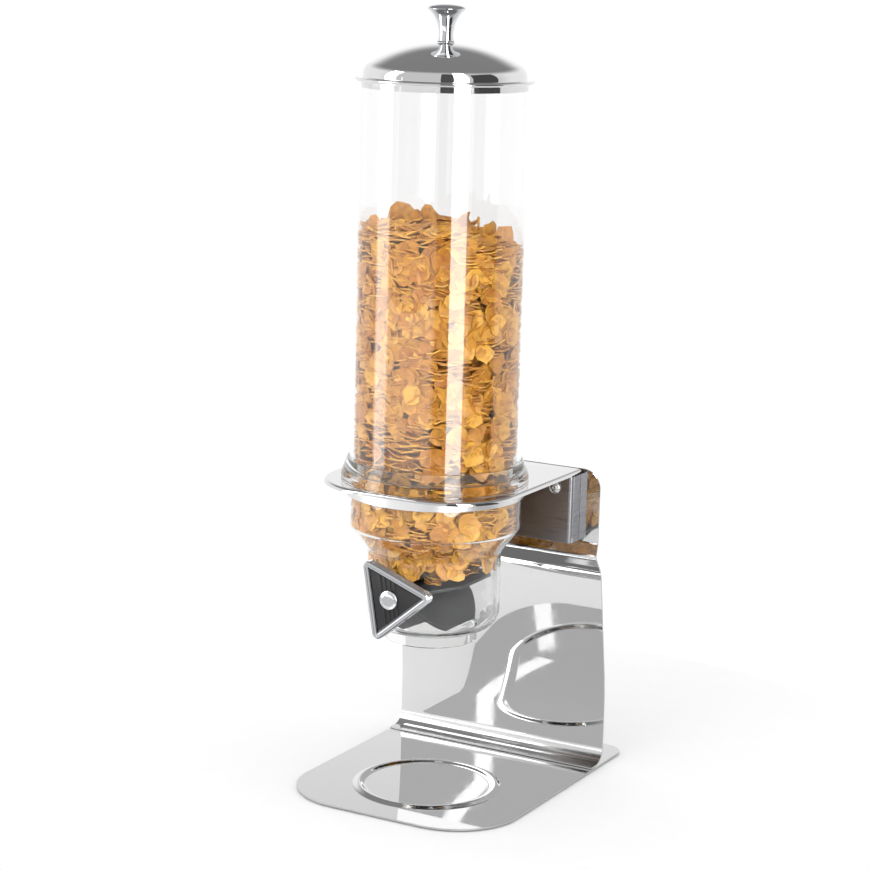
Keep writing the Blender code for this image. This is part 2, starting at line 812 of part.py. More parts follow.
def lid_profile():
    """Spun dome with a hemmed flange on the tube's rim and a plug skirt inside the tube."""
    hole = LID_SCREW_RADIUS + GAP
    crown = crown_path(LID_SKIRT_RADIUS, LID_CROWN_RADIUS, LID_KNUCKLE, hole)
    outside = [(radius, LID_HEIGHT + drop) for radius, drop in crown]
    inside = shifted(outside, -LID_SHEET)[::-1]
    plug_radius = TUBE_RADIUS - TUBE_WALL - LID_PLUG_CLEARANCE
    flange = rounded_path(
        [
            (LID_SKIRT_RADIUS, LID_FLANGE),
            (LID_FLANGE_RADIUS, LID_FLANGE),
            (LID_FLANGE_RADIUS, 0),
            (plug_radius, 0),
        ],
        [LID_FLANGE / 2, LID_FLANGE / 2],
    )
    plug = [
        (plug_radius, -LID_PLUG_DEPTH),
        (plug_radius - LID_SHEET, -LID_PLUG_DEPTH),
        (plug_radius - LID_SHEET, 0),
        (LID_SKIRT_RADIUS - LID_SHEET, LID_FLANGE),
    ]
    return outside + flange + plug + inside


def make_lid():
    turned_piece("lid_dome", lid_profile(), MIRROR, place=(0, AXIS_Y, LID_BOTTOM))
    knob_bottom = LID_TOP + GAP
    bore_radius = LID_SCREW_RADIUS + GAP
    bite_top = LID_SCREW_BITE + GAP
    knob = [(LID_KNOB_RADIUS * r, LID_KNOB_HEIGHT * z) for r, z in LID_KNOB_SHARES]
    knob += [(bore_radius, 0), (bore_radius, bite_top), (0, bite_top)]
    turned_piece(
        "lid_knob",
        knob,
        CHROME,
        steps=MEDIUM_STEPS,
        closed=False,
        place=(0, AXIS_Y, knob_bottom),
    )
    washer_drop = LID_CROWN_RADIUS - math.sqrt(LID_CROWN_RADIUS**2 - LID_WASHER_RADIUS**2)
    sheet_bottom = LID_TOP - LID_SHEET - washer_drop - ARC_SAG
    washer_top = sheet_bottom - GAP
    washer_bottom = washer_top - WASHER_THICKNESS
    add_piece(
        "lid_washer",
        flat_mesh("lid_washer", [circle(LID_WASHER_RADIUS), circle(bore_radius)], WASHER_THICKNESS),
        FASTENER,
        place=(0, AXIS_Y, (washer_top + washer_bottom) / 2),
    )
    head_top = washer_bottom - GAP
    screw = [
        (0, knob_bottom + LID_SCREW_BITE),
        (LID_SCREW_RADIUS, knob_bottom + LID_SCREW_BITE),
        (LID_SCREW_RADIUS, head_top),
        (LID_SCREW_HEAD, head_top),
        (LID_SCREW_HEAD, head_top - LID_SCREW_HEAD_HEIGHT / 2),
        (LID_SCREW_HEAD / 2, head_top - LID_SCREW_HEAD_HEIGHT),
        (0, head_top - LID_SCREW_HEAD_HEIGHT),
    ]
    turned_piece(
        "lid_screw",
        screw,
        FASTENER,
        steps=SMALL_STEPS,
        closed=False,
        place=(0, AXIS_Y, 0),
    )


def flatted_circle(radius, flat, steps=SMALL_STEPS):
    """A round section with one flat facing +X."""
    limit = math.acos(flat / radius)
    angles = [limit + (2 * math.pi - 2 * limit) * step / steps for step in range(steps + 1)]
    return [(radius * math.cos(angle), radius * math.sin(angle)) for angle in angles]


def make_shaft():
    """Steel shaft with a flat for the hub and the knob, and a groove for the clip at its tail."""
    groove = SHAFT_RADIUS - CLIP_GROOVE_DEPTH
    profile = [
        (0, SHAFT_FRONT),
        (SHAFT_RADIUS, SHAFT_FRONT),
        (SHAFT_RADIUS, -BUSH_FACE),
        (groove, -BUSH_FACE),
        (groove, -CLIP_BACK - GAP),
        (SHAFT_RADIUS, -CLIP_BACK - GAP),
        (SHAFT_RADIUS, -SHAFT_REAR),
        (0, -SHAFT_REAR),
    ]
    turn = (0, 0, FLAT_TURN)
    shaft = turned_piece(
        "drive_shaft",
        profile,
        FASTENER,
        steps=MEDIUM_STEPS,
        closed=False,
        turn=turn,
        parent=WHEEL_AXIS,
    )
    length = SHAFT_FRONT + HUB_HALF_LENGTH + OVERRUN
    size = (SHAFT_RADIUS, SHAFT_RADIUS * 3, length)
    middle = (SHAFT_FLAT + SHAFT_RADIUS / 2, SHAFT_FRONT + OVERRUN - length / 2)
    place = (middle[0] * math.cos(FLAT_TURN), middle[0] * math.sin(FLAT_TURN), middle[1])
    flat = add_piece(
        "shaft_flat", block_mesh("shaft_flat", size), place=place, turn=turn, parent=WHEEL_AXIS
    )
    shape(shaft, flat)


def make_clip():
    """Open spring clip that keeps the shaft from sliding out."""
    inner = SHAFT_RADIUS - CLIP_GROOVE_DEPTH + GAP
    sweep = 2 * math.pi - CLIP_OPENING
    steps = range(SMALL_STEPS + 1)
    angles = [CLIP_OPENING / 2 + sweep * step / SMALL_STEPS for step in steps]
    outer_arc = [(CLIP_RADIUS * math.cos(a), CLIP_RADIUS * math.sin(a)) for a in angles]
    inner_arc = [(inner * math.cos(a), inner * math.sin(a)) for a in reversed(angles)]
    add_piece(
        "shaft_clip",
        flat_mesh("shaft_clip", [outer_arc + inner_arc], CLIP_THICKNESS),
        FASTENER,
        place=(0, 0, -CLIP_BACK + CLIP_THICKNESS / 2),
        parent=WHEEL_AXIS,
    )


def make_hub():
    """Hub with a slot for the root of each vane and a bore that fits the shaft's flat."""
    half_slot = VANE_THICKNESS / 2 + GAP
    mouth = math.sqrt(HUB_RADIUS**2 - half_slot**2)
    bottom = HUB_RADIUS - HUB_SLOT_DEPTH
    mouth_angle = math.asin(half_slot / HUB_RADIUS)
    pitch = 2 * math.pi / VANES
    outline = []
    for vane in range(VANES):
        turn = pitch * vane
        slot = [(mouth, -half_slot), (bottom, -half_slot), (bottom, half_slot), (mouth, half_slot)]
        for x, y in slot:
            outline.append(
                (
                    x * math.cos(turn) - y * math.sin(turn),
                    x * math.sin(turn) + y * math.cos(turn),
                )
            )
        land = pitch - 2 * mouth_angle
        steps = arc_steps(HUB_RADIUS, land)
        for step in range(1, steps):
            angle = turn + mouth_angle + land * step / steps
            outline.append((HUB_RADIUS * math.cos(angle), HUB_RADIUS * math.sin(angle)))
    bore = flatted_circle(BUSH_BORE, SHAFT_FLAT + SHAFT_CLEARANCE)
    relative = FLAT_TURN - WHEEL_TURN
    cosine, sine = math.cos(relative), math.sin(relative)
    bore = [(x * cosine - y * sine, x * sine + y * cosine) for x, y in bore]
    add_piece(
        "wheel_hub",
        flat_mesh("wheel_hub", [outline, bore], 2 * HUB_HALF_LENGTH),
        SILICONE,
        turn=(0, 0, WHEEL_TURN),
        parent=WHEEL_AXIS,
    )


def make_vanes():
    """Flexible vanes with their corners cut round, so that they clear the hopper as they turn."""
    root = HUB_RADIUS - HUB_SLOT_DEPTH + GAP
    low = math.asin(math.sqrt(SWEEP_RADIUS**2 - VANE_REACH**2) / SWEEP_RADIUS)
    high = math.asin(VANE_HALF_LENGTH / SWEEP_RADIUS)
    steps = arc_steps(SWEEP_RADIUS, high - low)
    angles = [low + (high - low) * step / steps for step in range(steps + 1)]
    corner = [(SWEEP_RADIUS * math.cos(a), SWEEP_RADIUS * math.sin(a)) for a in angles]
    lower = [(x, -y) for x, y in reversed(corner)]
    outline = [(root, -VANE_HALF_LENGTH), *lower, *corner, (root, VANE_HALF_LENGTH)]
    mesh = flat_mesh("vane", [outline], VANE_THICKNESS)
    mesh.materials.append(SILICONE)
    for vane in range(VANES):
        piece = bpy.data.objects.new(f"vane_{vane + 1}", mesh)
        piece.rotation_euler = (math.pi / 2, 0, WHEEL_TURN + 2 * math.pi * vane / VANES)
        piece.parent = WHEEL_AXIS
        PARTS.objects.link(piece)


def triangle(inset, height):
    """The knob's outline, a triangle with round corners, drawn in by an inset."""
    sharp = KNOB_REACH + KNOB_CORNER - 2 * inset
    angles = [2 * math.pi * corner / 3 for corner in range(3)]
    corners = [(sharp * math.cos(a), sharp * math.sin(a)) for a in angles]
    radius = max(KNOB_CORNER - inset, KNOB_EDGE)
    outline = rounded_loop(corners, [radius] * 3, KNOB_CORNER_STEPS)
    return [(x, y, height) for x, y in outline]


def make_knob_frame(socket, screw_hole_tool):
    """Chromed triangular frame: grooved sides to grip, a raised rim and a recess for the inlay."""
    side_start, side_end = KNOB_BACK + KNOB_EDGE, KNOB_FRONT - KNOB_EDGE
    pitch = (side_end - side_start) / (2 * KNOB_GROOVES + 1)
    levels = [(KNOB_EDGE, KNOB_BACK), (0, side_start)]
    for groove in range(KNOB_GROOVES):
        start = side_start + pitch * (2 * groove + 1)
        levels += [(0, start), (KNOB_GROOVE_DEPTH, start + pitch / 2), (0, start + pitch)]
    levels += [
        (0, side_end),
        (KNOB_EDGE, KNOB_FRONT),
        (KNOB_RIM, KNOB_FRONT),
        (KNOB_RIM + KNOB_EDGE, RECESS_FLOOR),
    ]
    rings = [triangle(inset, height) for inset, height in levels]
    mesh = lofted_mesh("knob_frame", rings, closed=True, caps=("first", "last"))
    frame = add_piece("knob_frame", mesh, CHROME, turn=(0, 0, WHEEL_TURN), parent=WHEEL_AXIS)
    shape(frame, socket)
    shape(frame, screw_hole_tool)


def make_knob_socket():
    outline = flatted_circle(BUSH_BORE, SHAFT_FLAT + SHAFT_CLEARANCE)
    length = SOCKET_END - KNOB_BACK + OVERRUN
    return add_piece(
        "knob_socket",
        flat_mesh("knob_socket", [outline], length),
        place=(0, 0, SOCKET_END - length / 2),
        turn=(0, 0, FLAT_TURN),
        parent=WHEEL_AXIS,
    )


def along_flat(distance, height):
    """A place on the side of the shaft's flat, this far from the axis."""
    return (distance * math.cos(FLAT_TURN), distance * math.sin(FLAT_TURN), height)


def make_set_screw():
    """Grub screw that bears on the shaft's flat through one side of the knob; gives its hole."""
    height = (KNOB_BACK + SOCKET_END) / 2
    turn = (0, math.pi / 2, FLAT_TURN)
    start = SHAFT_FLAT + GAP
    name = "knob_set_screw"
    add_piece(
        name,
        rod_mesh(name, SET_SCREW_RADIUS, SET_SCREW_LENGTH),
        FASTENER,
        place=along_flat(start + SET_SCREW_LENGTH / 2, height),
        turn=turn,
        parent=WHEEL_AXIS,
    )
    hole_end = KNOB_REACH
    length = hole_end - SHAFT_FLAT
    return add_piece(
        "set_screw_hole",
        rod_mesh("set_screw_hole", SET_SCREW_RADIUS + GAP, length),
        place=along_flat(hole_end - length / 2, height),
        turn=turn,
        parent=WHEEL_AXIS,
    )


def make_knob_inlay():
    """Dark plate in the recess, with plain straight ribs across it."""
    bottom = RECESS_FLOOR + GAP
    outline = [(x, y) for x, y, _ in triangle(KNOB_RIM + KNOB_EDGE + GAP, 0)]
    inlay = add_piece(
        "knob_inlay",
        flat_mesh("knob_inlay", [outline], INLAY_THICKNESS),
        NYLON,
        place=(0, 0, bottom + INLAY_THICKNESS / 2),
        turn=(0, 0, WHEEL_TURN),
        parent=WHEEL_AXIS,
    )
    reach = KNOB_REACH - KNOB_RIM - KNOB_EDGE - KNOB_CORNER
    for rib in range(INLAY_RIBS):
        x = INLAY_RIB_PITCH * (rib - (INLAY_RIBS - 1) / 2)
        half = (reach - x) * math.tan(math.pi / 6)
        name = f"inlay_rib_{rib + 1}"
        height = INLAY_THICKNESS / 2 + INLAY_RIB_HEIGHT
        centre = bottom + INLAY_THICKNESS / 2 + height / 2
        tool = add_piece(
            name,
            block_mesh(name, (INLAY_RIB_WIDTH, 2 * half, height)),
            place=(x * math.cos(WHEEL_TURN), x * math.sin(WHEEL_TURN), centre),
            turn=(0, 0, WHEEL_TURN),
            parent=WHEEL_AXIS,
        )
        shape(inlay, tool, "UNION")
    return bottom + INLAY_THICKNESS + INLAY_RIB_HEIGHT


def make_knob_stud(seat):
    """Plain round stud in the middle of the inlay."""
    bottom = seat + GAP
    steps = arc_steps(STUD_RADIUS, math.pi / 2)
    angles = [math.pi / 2 * step / steps for step in range(steps + 1)]
    dome = [
        (STUD_RADIUS * math.sin(angle), bottom + STUD_HEIGHT / 2 * (1 + math.cos(angle)))
        for angle in angles
    ]
    turned_piece(
        "knob_stud",
        [*dome, (STUD_RADIUS, bottom), (0, bottom)],
        CHROME,
        steps=MEDIUM_STEPS,
        closed=False,
        parent=WHEEL_AXIS,
    )


clear_scene()
PARTS = new_collection("cereal_dispenser")
CUTTERS = new_collection("cutters")
MIRROR, CHROME, FASTENER = mirror_steel(), chrome(), fastener_steel()
CLEAR, SILICONE, NYLON, RUBBER = clear_plastic(), black_silicone(), black_nylon(), grey_rubber()
WHEEL_AXIS = new_empty("wheel_axis", (0, AXIS_Y, WHEEL_Z), TO_FRONT)

screw_holes = [screw_hole("screw_hole_left", -SCREW_SPREAD / 2)]
screw_holes.append(screw_hole("screw_hole_right", SCREW_SPREAD / 2))
make_base_plate()
make_feet()
make_upright(screw_holes)
make_shelf(screw_holes)
make_channel(screw_holes)
make_bracket_fasteners()
make_hopper()
make_bushes()
make_tube()
make_lid()
make_shaft()
make_clip()
make_hub()
make_vanes()
make_knob_frame(make_knob_socket(), make_set_screw())
make_knob_stud(make_knob_inlay())
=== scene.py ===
"""Studio picture of a cereal dispenser: a clear tube and hopper full of cornflakes hang in a stand
bent from mirror-polished steel, and a triangular knob turns the paddle wheel in the hopper.
"""
import math
import random

import bmesh
import bpy
from mathutils import Matrix, Vector, noise


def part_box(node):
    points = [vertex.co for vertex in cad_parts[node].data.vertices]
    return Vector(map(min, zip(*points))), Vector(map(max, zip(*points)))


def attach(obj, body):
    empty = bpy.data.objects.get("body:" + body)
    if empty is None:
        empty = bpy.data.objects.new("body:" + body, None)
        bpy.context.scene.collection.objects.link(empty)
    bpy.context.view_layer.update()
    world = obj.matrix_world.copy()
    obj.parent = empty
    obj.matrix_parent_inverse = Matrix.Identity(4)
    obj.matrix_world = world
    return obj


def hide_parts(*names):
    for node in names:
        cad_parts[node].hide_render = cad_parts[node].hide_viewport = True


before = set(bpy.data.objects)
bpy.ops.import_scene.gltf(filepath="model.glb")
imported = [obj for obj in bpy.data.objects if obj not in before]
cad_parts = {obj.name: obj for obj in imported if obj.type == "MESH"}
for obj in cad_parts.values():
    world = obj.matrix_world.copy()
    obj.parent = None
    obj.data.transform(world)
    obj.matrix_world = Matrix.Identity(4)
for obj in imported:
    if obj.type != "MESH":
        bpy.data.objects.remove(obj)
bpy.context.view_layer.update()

# Camera
# The photograph looks from the right of the front and a little from above, from about two metres
# away, with the picture turned slightly clockwise. The clear tube's axis stands in its middle.
AZIMUTH = math.radians(29.22)
ELEVATION = math.radians(11.69)
ROLL = math.radians(1.46)
DISTANCE = 2.00993
LENS_MM = 102.38
SENSOR_MM = 36
NEAR_CLIP = 0.05
tube_low, tube_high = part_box("tube")
AXIS = Vector(((tube_low.x + tube_high.x) / 2, (tube_low.y + tube_high.y) / 2, 0))
LOOK_AT = AXIS + Vector((-0.00064, -0.00036, 0.30104))

def alone(piece=None):
    """Leaves edit mode and selects only this piece, which the next operators act on, or nothing."""
    if bpy.context.mode != "OBJECT":
        bpy.ops.object.mode_set(mode="OBJECT")
    bpy.ops.object.select_all(action="DESELECT")
    if piece:
        piece.select_set(True)
        bpy.context.view_layer.objects.active = piece

def facing(azimuth, elevation):
    """The turn that points a camera or a lamp at the middle from this side and height."""
    return Matrix.Rotation(azimuth, 4, "Z") @ Matrix.Rotation(math.pi / 2 - elevation, 4, "X")

alone()
bpy.ops.object.camera_add()
camera = bpy.context.object
camera.name = "photograph_camera"
view_turn = facing(AZIMUTH, ELEVATION)
stand_point = LOOK_AT + view_turn.to_3x3() @ Vector((0, 0, DISTANCE))
camera.matrix_world = Matrix.Translation(stand_point) @ view_turn @ Matrix.Rotation(ROLL, 4, "Z")
camera.data.lens = LENS_MM
camera.data.sensor_width = SENSOR_MM
camera.data.clip_start = NEAR_CLIP
bpy.context.scene.camera = camera
bpy.context.scene.view_settings.view_transform = "Standard"

# Studio
# A white table in a white tent that lights it evenly, and a soft lamp high on the left. What the
# polished surfaces reflect is set on its own: a white wall behind, a grey room in front with a
# grey ceiling, bright panels on both sides of the camera, and dark gaps beside it and behind it.
TABLE_RADIUS = 0.42
TABLE_CORNERS = 96
WALL_WHITE = 1.06
FRONT_GREY = 0.75
CEILING_GREY = 0.28
WALL_ENDS = 0.35
CEILING_STARTS, CEILING_FULL = 0.53, 0.82
CEILING_LOWER_BEHIND = 0.3
# Each one's bearing from the camera in degrees, distance, width, bottom and top in metres, and its
# brightness, where a sheet of white paper has 1.
LAMP = (-40, 1.2, 0.8, 0.7, 1.5, 1.6)
PANELS = {
    "right_panel": (22.8, 1.1, 0.39, 0.0, 2.2, 8),
    "left_panel": (-80, 1.1, 0.38, 0.0, 1.6, 4.9),
    "left_strip": (-60.3, 1.3, 0.026, 0.24, 0.8, 1.9),
    "left_sheet": (-40, 1.15, 1.4, 0.03, 0.24, 1.8),
    "right_gap": (58, 1.2, 0.85, 0.0, 1.6, 0.08),
    "camera_gap": (3, 1.3, 0.40, 0.0, 2.0, 0.1),
}

def linear(code):
    """An sRGB colour in hex as the linear red, green, blue and alpha that shaders take."""
    parts = [int(code[start : start + 2], 16) / 255 for start in (0, 2, 4)]
    return (*[c / 12.92 if c <= 0.04045 else ((c + 0.055) / 1.055) ** 2.4 for c in parts], 1)

def link(tree, source, target, socket):
    """Links an output, or the first output in use of a node, into another node's socket."""
    if isinstance(source, bpy.types.Node):
        source = next(output for output in source.outputs if output.enabled)
    tree.links.new(source, target.inputs[socket])

def node(tree, kind, values=(), links=(), **settings):
    """Adds a node with its settings, the values on its sockets and what is linked into them."""
    made = tree.nodes.new("ShaderNode" + kind)
    for name, value in settings.items():
        setattr(made, name, value)
    for socket, value in dict(values).items():
        made.inputs[socket].default_value = value
    for socket, source in dict(links).items():
        link(tree, source, made, socket)
    return made

def grey(level):
    return (level, level, level, 1)

world = bpy.data.worlds.new("studio_room")
bpy.context.scene.world = world
world.use_nodes = True
room = world.node_tree
room.nodes.clear()
direction = node(room, "TexCoord").outputs["Generated"]
height = node(room, "SeparateXYZ", links={0: direction}).outputs["Z"]
away = (-math.sin(AZIMUTH), math.cos(AZIMUTH), 0)
depth = node(room, "VectorMath", {1: away}, {0: direction}, operation="DOT_PRODUCT")
front = node(
    room, "MapRange", {1: WALL_ENDS, 2: -WALL_ENDS}, {0: depth}, interpolation_type="SMOOTHSTEP"
)
level = node(
    room, "Math", {1: CEILING_LOWER_BEHIND}, {0: depth, 2: height}, operation="MULTIPLY_ADD"
)
ceiling_span = {1: CEILING_STARTS, 2: CEILING_FULL}
top = node(room, "MapRange", ceiling_span, {0: level}, interpolation_type="SMOOTHSTEP")
around = node(room, "Mix", {6: grey(WALL_WHITE), 7: grey(FRONT_GREY)}, {0: front}, data_type="RGBA")
everything = node(room, "Mix", {7: grey(CEILING_GREY)}, {0: top, 6: around}, data_type="RGBA")
ray = node(room, "LightPath").outputs
mirrored = {0: ray["Is Glossy Ray"], 1: ray["Is Transmission Ray"]}
reflected = node(room, "Math", links=mirrored, operation="SUBTRACT")
seen = node(room, "Mix", {6: grey(WALL_WHITE)}, {0: reflected, 7: everything}, data_type="RGBA")
sky = node(room, "Background", {1: 1}, {0: seen})
node(room, "OutputWorld", links={0: sky})

def on_axis(height):
    """The place on the tube's axis at this height."""
    return AXIS + Vector((0, 0, height))

def upright_at(bearing, distance, bottom, top):
    """The place of an upright face that looks at the tube's axis from this bearing."""
    turn = facing(AZIMUTH + math.radians(bearing), 0)
    middle = on_axis((bottom + top) / 2) + turn.to_3x3() @ Vector((0, 0, distance))
    return Matrix.Translation(middle) @ turn

def lamp(name, bearing, distance, width, bottom, top, brightness):
    """A soft lamp with an upright rectangular face, which no camera or mirror sees."""
    bpy.ops.object.light_add(type="AREA")
    made = bpy.context.object
    made.name = name
    made.matrix_world = upright_at(bearing, distance, bottom, top)
    made.data.shape = "RECTANGLE"
    made.data.size = width
    made.data.size_y = top - bottom
    # Blender's watts for a face of this brightness
    made.data.energy = 4 * width * (top - bottom) * brightness
    made.visible_camera = made.visible_glossy = False

def panel(name, bearing, distance, width, bottom, top, brightness):
    """An upright panel that only polished and clear surfaces see."""
    alone()
    bpy.ops.mesh.primitive_plane_add(size=1)
    made = bpy.context.object
    made.name = name
    stretch = Matrix.Diagonal((width, top - bottom, 1, 1))
    made.matrix_world = upright_at(bearing, distance, bottom, top) @ stretch
    card = bpy.data.materials.new(name)
    card.use_nodes = True
    card.node_tree.nodes.clear()
    glow = node(card.node_tree, "Emission", {0: grey(brightness), 1: 1})
    node(card.node_tree, "OutputMaterial", links={0: glow})
    made.data.materials.append(card)
    made.visible_camera = made.visible_diffuse = made.visible_shadow = False

lamp("soft_lamp", *LAMP)
for name, place in PANELS.items():
    panel(name, *place)
alone()
bpy.ops.mesh.primitive_circle_add(vertices=TABLE_CORNERS, radius=TABLE_RADIUS, fill_type="NGON")
table = bpy.context.object
table.name = "table"

def per_mm(size):
    """The scale of a pattern whose features are this many millimetres apart."""
    return 1000 / size

def patterned(name, values, size, detail, tint=(), dull=(), relief=()):
    """A material with one noise pattern, whose features are this many millimetres apart, all ways
    or along X, Y and Z. The pattern can tint the surface between two colours, dull it between two
    levels of the pattern from one roughness to another, and stand up by a strength and a height."""
    made = bpy.data.materials.new(name)
    made.use_nodes = True
    tree = made.node_tree
    tree.nodes.clear()
    shader = node(tree, "BsdfPrincipled", values)
    node(tree, "OutputMaterial", links={"Surface": shader})
    place = node(tree, "TexCoord").outputs["Object"]
    scale = [per_mm(part) for part in (size if isinstance(size, tuple) else (size,) * 3)]
    spot = node(tree, "Mapping", {"Scale": scale}, {"Vector": place})
    pattern = node(tree, "TexNoise", {"Scale": 1, "Detail": detail}, {"Vector": spot})
    if tint:
        colours = {6: linear(tint[0]), 7: linear(tint[1])}
        colour = node(tree, "Mix", colours, {0: pattern}, data_type="RGBA")
        link(tree, colour, shader, "Base Color")
    if dull:
        rough = node(tree, "MapRange", dict(enumerate(dull, start=1)), {0: pattern})
        link(tree, rough, shader, "Roughness")
    if relief:
        strength, height = relief
        bump = node(tree, "Bump", {"Strength": strength, "Distance": height}, {"Height": pattern})
        link(tree, bump, shader, "Normal")
    return made, tree, shader, place

def white_lacquer():
    """Matt lacquered board: white, with the faint mottle of a rolled coat of paint 30 mm across."""
    return patterned("rolled_white_lacquer", {"Roughness": 0.7}, 30, 2, tint=("F9F9F9", "FDFDFD"))[0]

table.data.materials.append(white_lacquer())

# Base plate
# One flat plate of 304 stainless sheet, blanked with large front corners, with a round bead
# pressed up in it that marks the bowl's place. Both faces are polished to a mirror.
SHEET = 0.0015
SHEARED_CHAMFER = 0.0002
BASE_FRONT_CORNER = 0.058
BASE_REAR_CORNER = 0.017
CORNER_STEPS = 28
BEAD_RADIUS = 0.0572
BEAD_HALF_WIDTH = 0.0056
BEAD_HEIGHT = 0.0022
BEAD_STEPS = 12
FLAT_EDGE = 0.0005
TINY = 0.000002
FINE_ROUND = 192
PRESS_FADE = 0.0012

def start(name, add, **size):
    """A primitive at its size and place, alone in the selection and open in edit mode."""
    alone()
    add(**size)
    piece = bpy.context.object
    piece.name = piece.data.name = name
    bpy.ops.object.mode_set(mode="EDIT")
    return piece

def pick_all():
    bpy.ops.mesh.select_all(action="SELECT")

def pick(kind, test):
    """Selects the corners, edges or faces of the open piece that pass a test, and only those."""
    bpy.ops.mesh.select_mode(type=kind)
    bpy.ops.mesh.select_all(action="DESELECT")
    mesh = bpy.context.object.data
    form = bmesh.from_edit_mesh(mesh)
    for part in {"VERT": form.verts, "EDGE": form.edges, "FACE": form.faces}[kind]:
        if test(part):
            part.select_set(True)
    form.select_flush_mode()
    bmesh.update_edit_mesh(mesh)

def extrude(*move):
    bpy.ops.mesh.extrude_region_move(TRANSFORM_OT_translate={"value": move})

def traced(name, points):
    """A line of edges drawn point by point from a single corner."""
    piece = start(name, bpy.ops.mesh.primitive_plane_add, size=0.001, location=points[0])
    bpy.ops.mesh.select_mode(type="VERT")
    bpy.ops.mesh.merge(type="CENTER")
    for here, there in zip(points, points[1:]):
        extrude(*(there - here))
    return piece

def face_outwards():
    """Turns all faces of the open piece outwards."""
    pick_all()
    bpy.ops.mesh.normals_make_consistent(inside=False)

def close_seams():
    """Merges the corners that meet, and turns all faces outwards."""
    bpy.ops.mesh.select_mode(type="VERT")
    pick_all()
    bpy.ops.mesh.remove_doubles(threshold=TINY)
    face_outwards()

def turned(name, profile, centre, steps, along=(0, 0, 1)):
    """A line of radii and heights along an axis, spun once round it."""
    up = Vector(along)
    points = [centre + Vector((radius, 0, 0)) + up * height for radius, height in profile]
    piece = traced(name, points)
    pick_all()
    bpy.ops.mesh.spin(steps=steps, angle=2 * math.pi, center=centre, axis=along)
    close_seams()
    return piece

def join_in(other):
    """Joins another object's mesh to the open piece, which stays open."""
    bpy.ops.object.mode_set(mode="OBJECT")
    other.select_set(True)
    bpy.ops.object.join()
    bpy.ops.object.mode_set(mode="EDIT")

def modify(piece, name, kind, **settings):
    """Adds a modifier with its settings."""
    made = piece.modifiers.new(name, kind)
    for setting, value in settings.items():
        setattr(made, setting, value)

def soften(piece, name, width, segments, degrees):
    """Rounds or chamfers the edges that turn by more than this many degrees."""
    limit = {"limit_method": "ANGLE", "angle_limit": math.radians(degrees)}
    modify(piece, name, "BEVEL", width=width, segments=segments, **limit)

def give_thickness(piece, towards):
    """Turns an open sheet's good face this way, then adds its wall behind that face."""
    face_outwards()
    form = bmesh.from_edit_mesh(piece.data)
    lean = sum((face.normal * face.calc_area() for face in form.faces), Vector())
    if lean.dot(Vector(towards)) < 0:
        bpy.ops.mesh.flip_normals()
    wall = {"thickness": SHEET, "offset": -1, "use_even_offset": True, "material_offset_rim": 1}
    modify(piece, "wall", "SOLIDIFY", **wall)
    soften(piece, "deburred_rim", SHEARED_CHAMFER, 1, 60)

def settle(piece, materials, body, replaced, smooth=30):
    """Closes a piece: applies its modifiers and its place, shades it and seats it on its body."""
    alone(piece)
    for material in materials:
        piece.data.materials.append(material)
    for modifier in list(piece.modifiers):
        bpy.ops.object.modifier_apply(modifier=modifier.name)
    bpy.ops.object.transform_apply(location=True, rotation=True, scale=True)
    bpy.ops.object.shade_smooth_by_angle(angle=math.radians(smooth))
    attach(piece, body)
    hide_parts(replaced)

def metal(code):
    """What all bare metal has in common, and the colour of this one."""
    return {"Base Color": linear(code), "Metallic": 1}

def mirror_steel(name="mirror_polished_stainless", pressed=(), dulling=0):
    """304 stainless sheet, polished to a mirror with fine compound. It reflects as a light, very
    slightly warm grey. The sheet's rolling leaves a faint wave about 45 mm long, and the buffing
    leaves patches of haze 9 mm wide. Between two heights the press may have dulled it."""
    made, tree, shader, place = patterned(
        name, metal("DCDCDC"), 9, 3, dull=(0.35, 0.75, 0.012, 0.05)
    )
    wave = node(tree, "TexNoise", {"Scale": per_mm(45), "Detail": 0}, {"Vector": place})
    bump = node(tree, "Bump", {"Strength": 0.25, "Distance": 0.00006}, {"Height": wave})
    link(tree, bump, shader, "Normal")
    if pressed:
        low, high = pressed
        half = (high - low) / 2
        height = node(tree, "SeparateXYZ", links={0: place}).outputs["Z"]
        off = node(tree, "Math", {1: (low + high) / 2}, {0: height}, operation="SUBTRACT")
        distance = node(tree, "Math", links={0: off}, operation="ABSOLUTE")
        press = node(
            tree, "MapRange", {1: half, 2: half - PRESS_FADE, 4: dulling}, {0: distance}
        )
        haze = shader.inputs["Roughness"].links[0].from_node
        rough = node(tree, "Math", links={0: haze, 1: press}, operation="ADD")
        link(tree, rough, shader, "Roughness")
    return made

def sheared_steel():
    """The blanked edge of the same sheet, deburred but not polished: a satin grey line with a
    fine grain of shear marks 0.4 mm apart."""
    marks = {"dull": (0.3, 0.7, 0.22, 0.42), "relief": (0.4, 0.00003)}
    return patterned("deburred_stainless_edge", metal("B9B9BA"), 0.4, 1, **marks)[0]

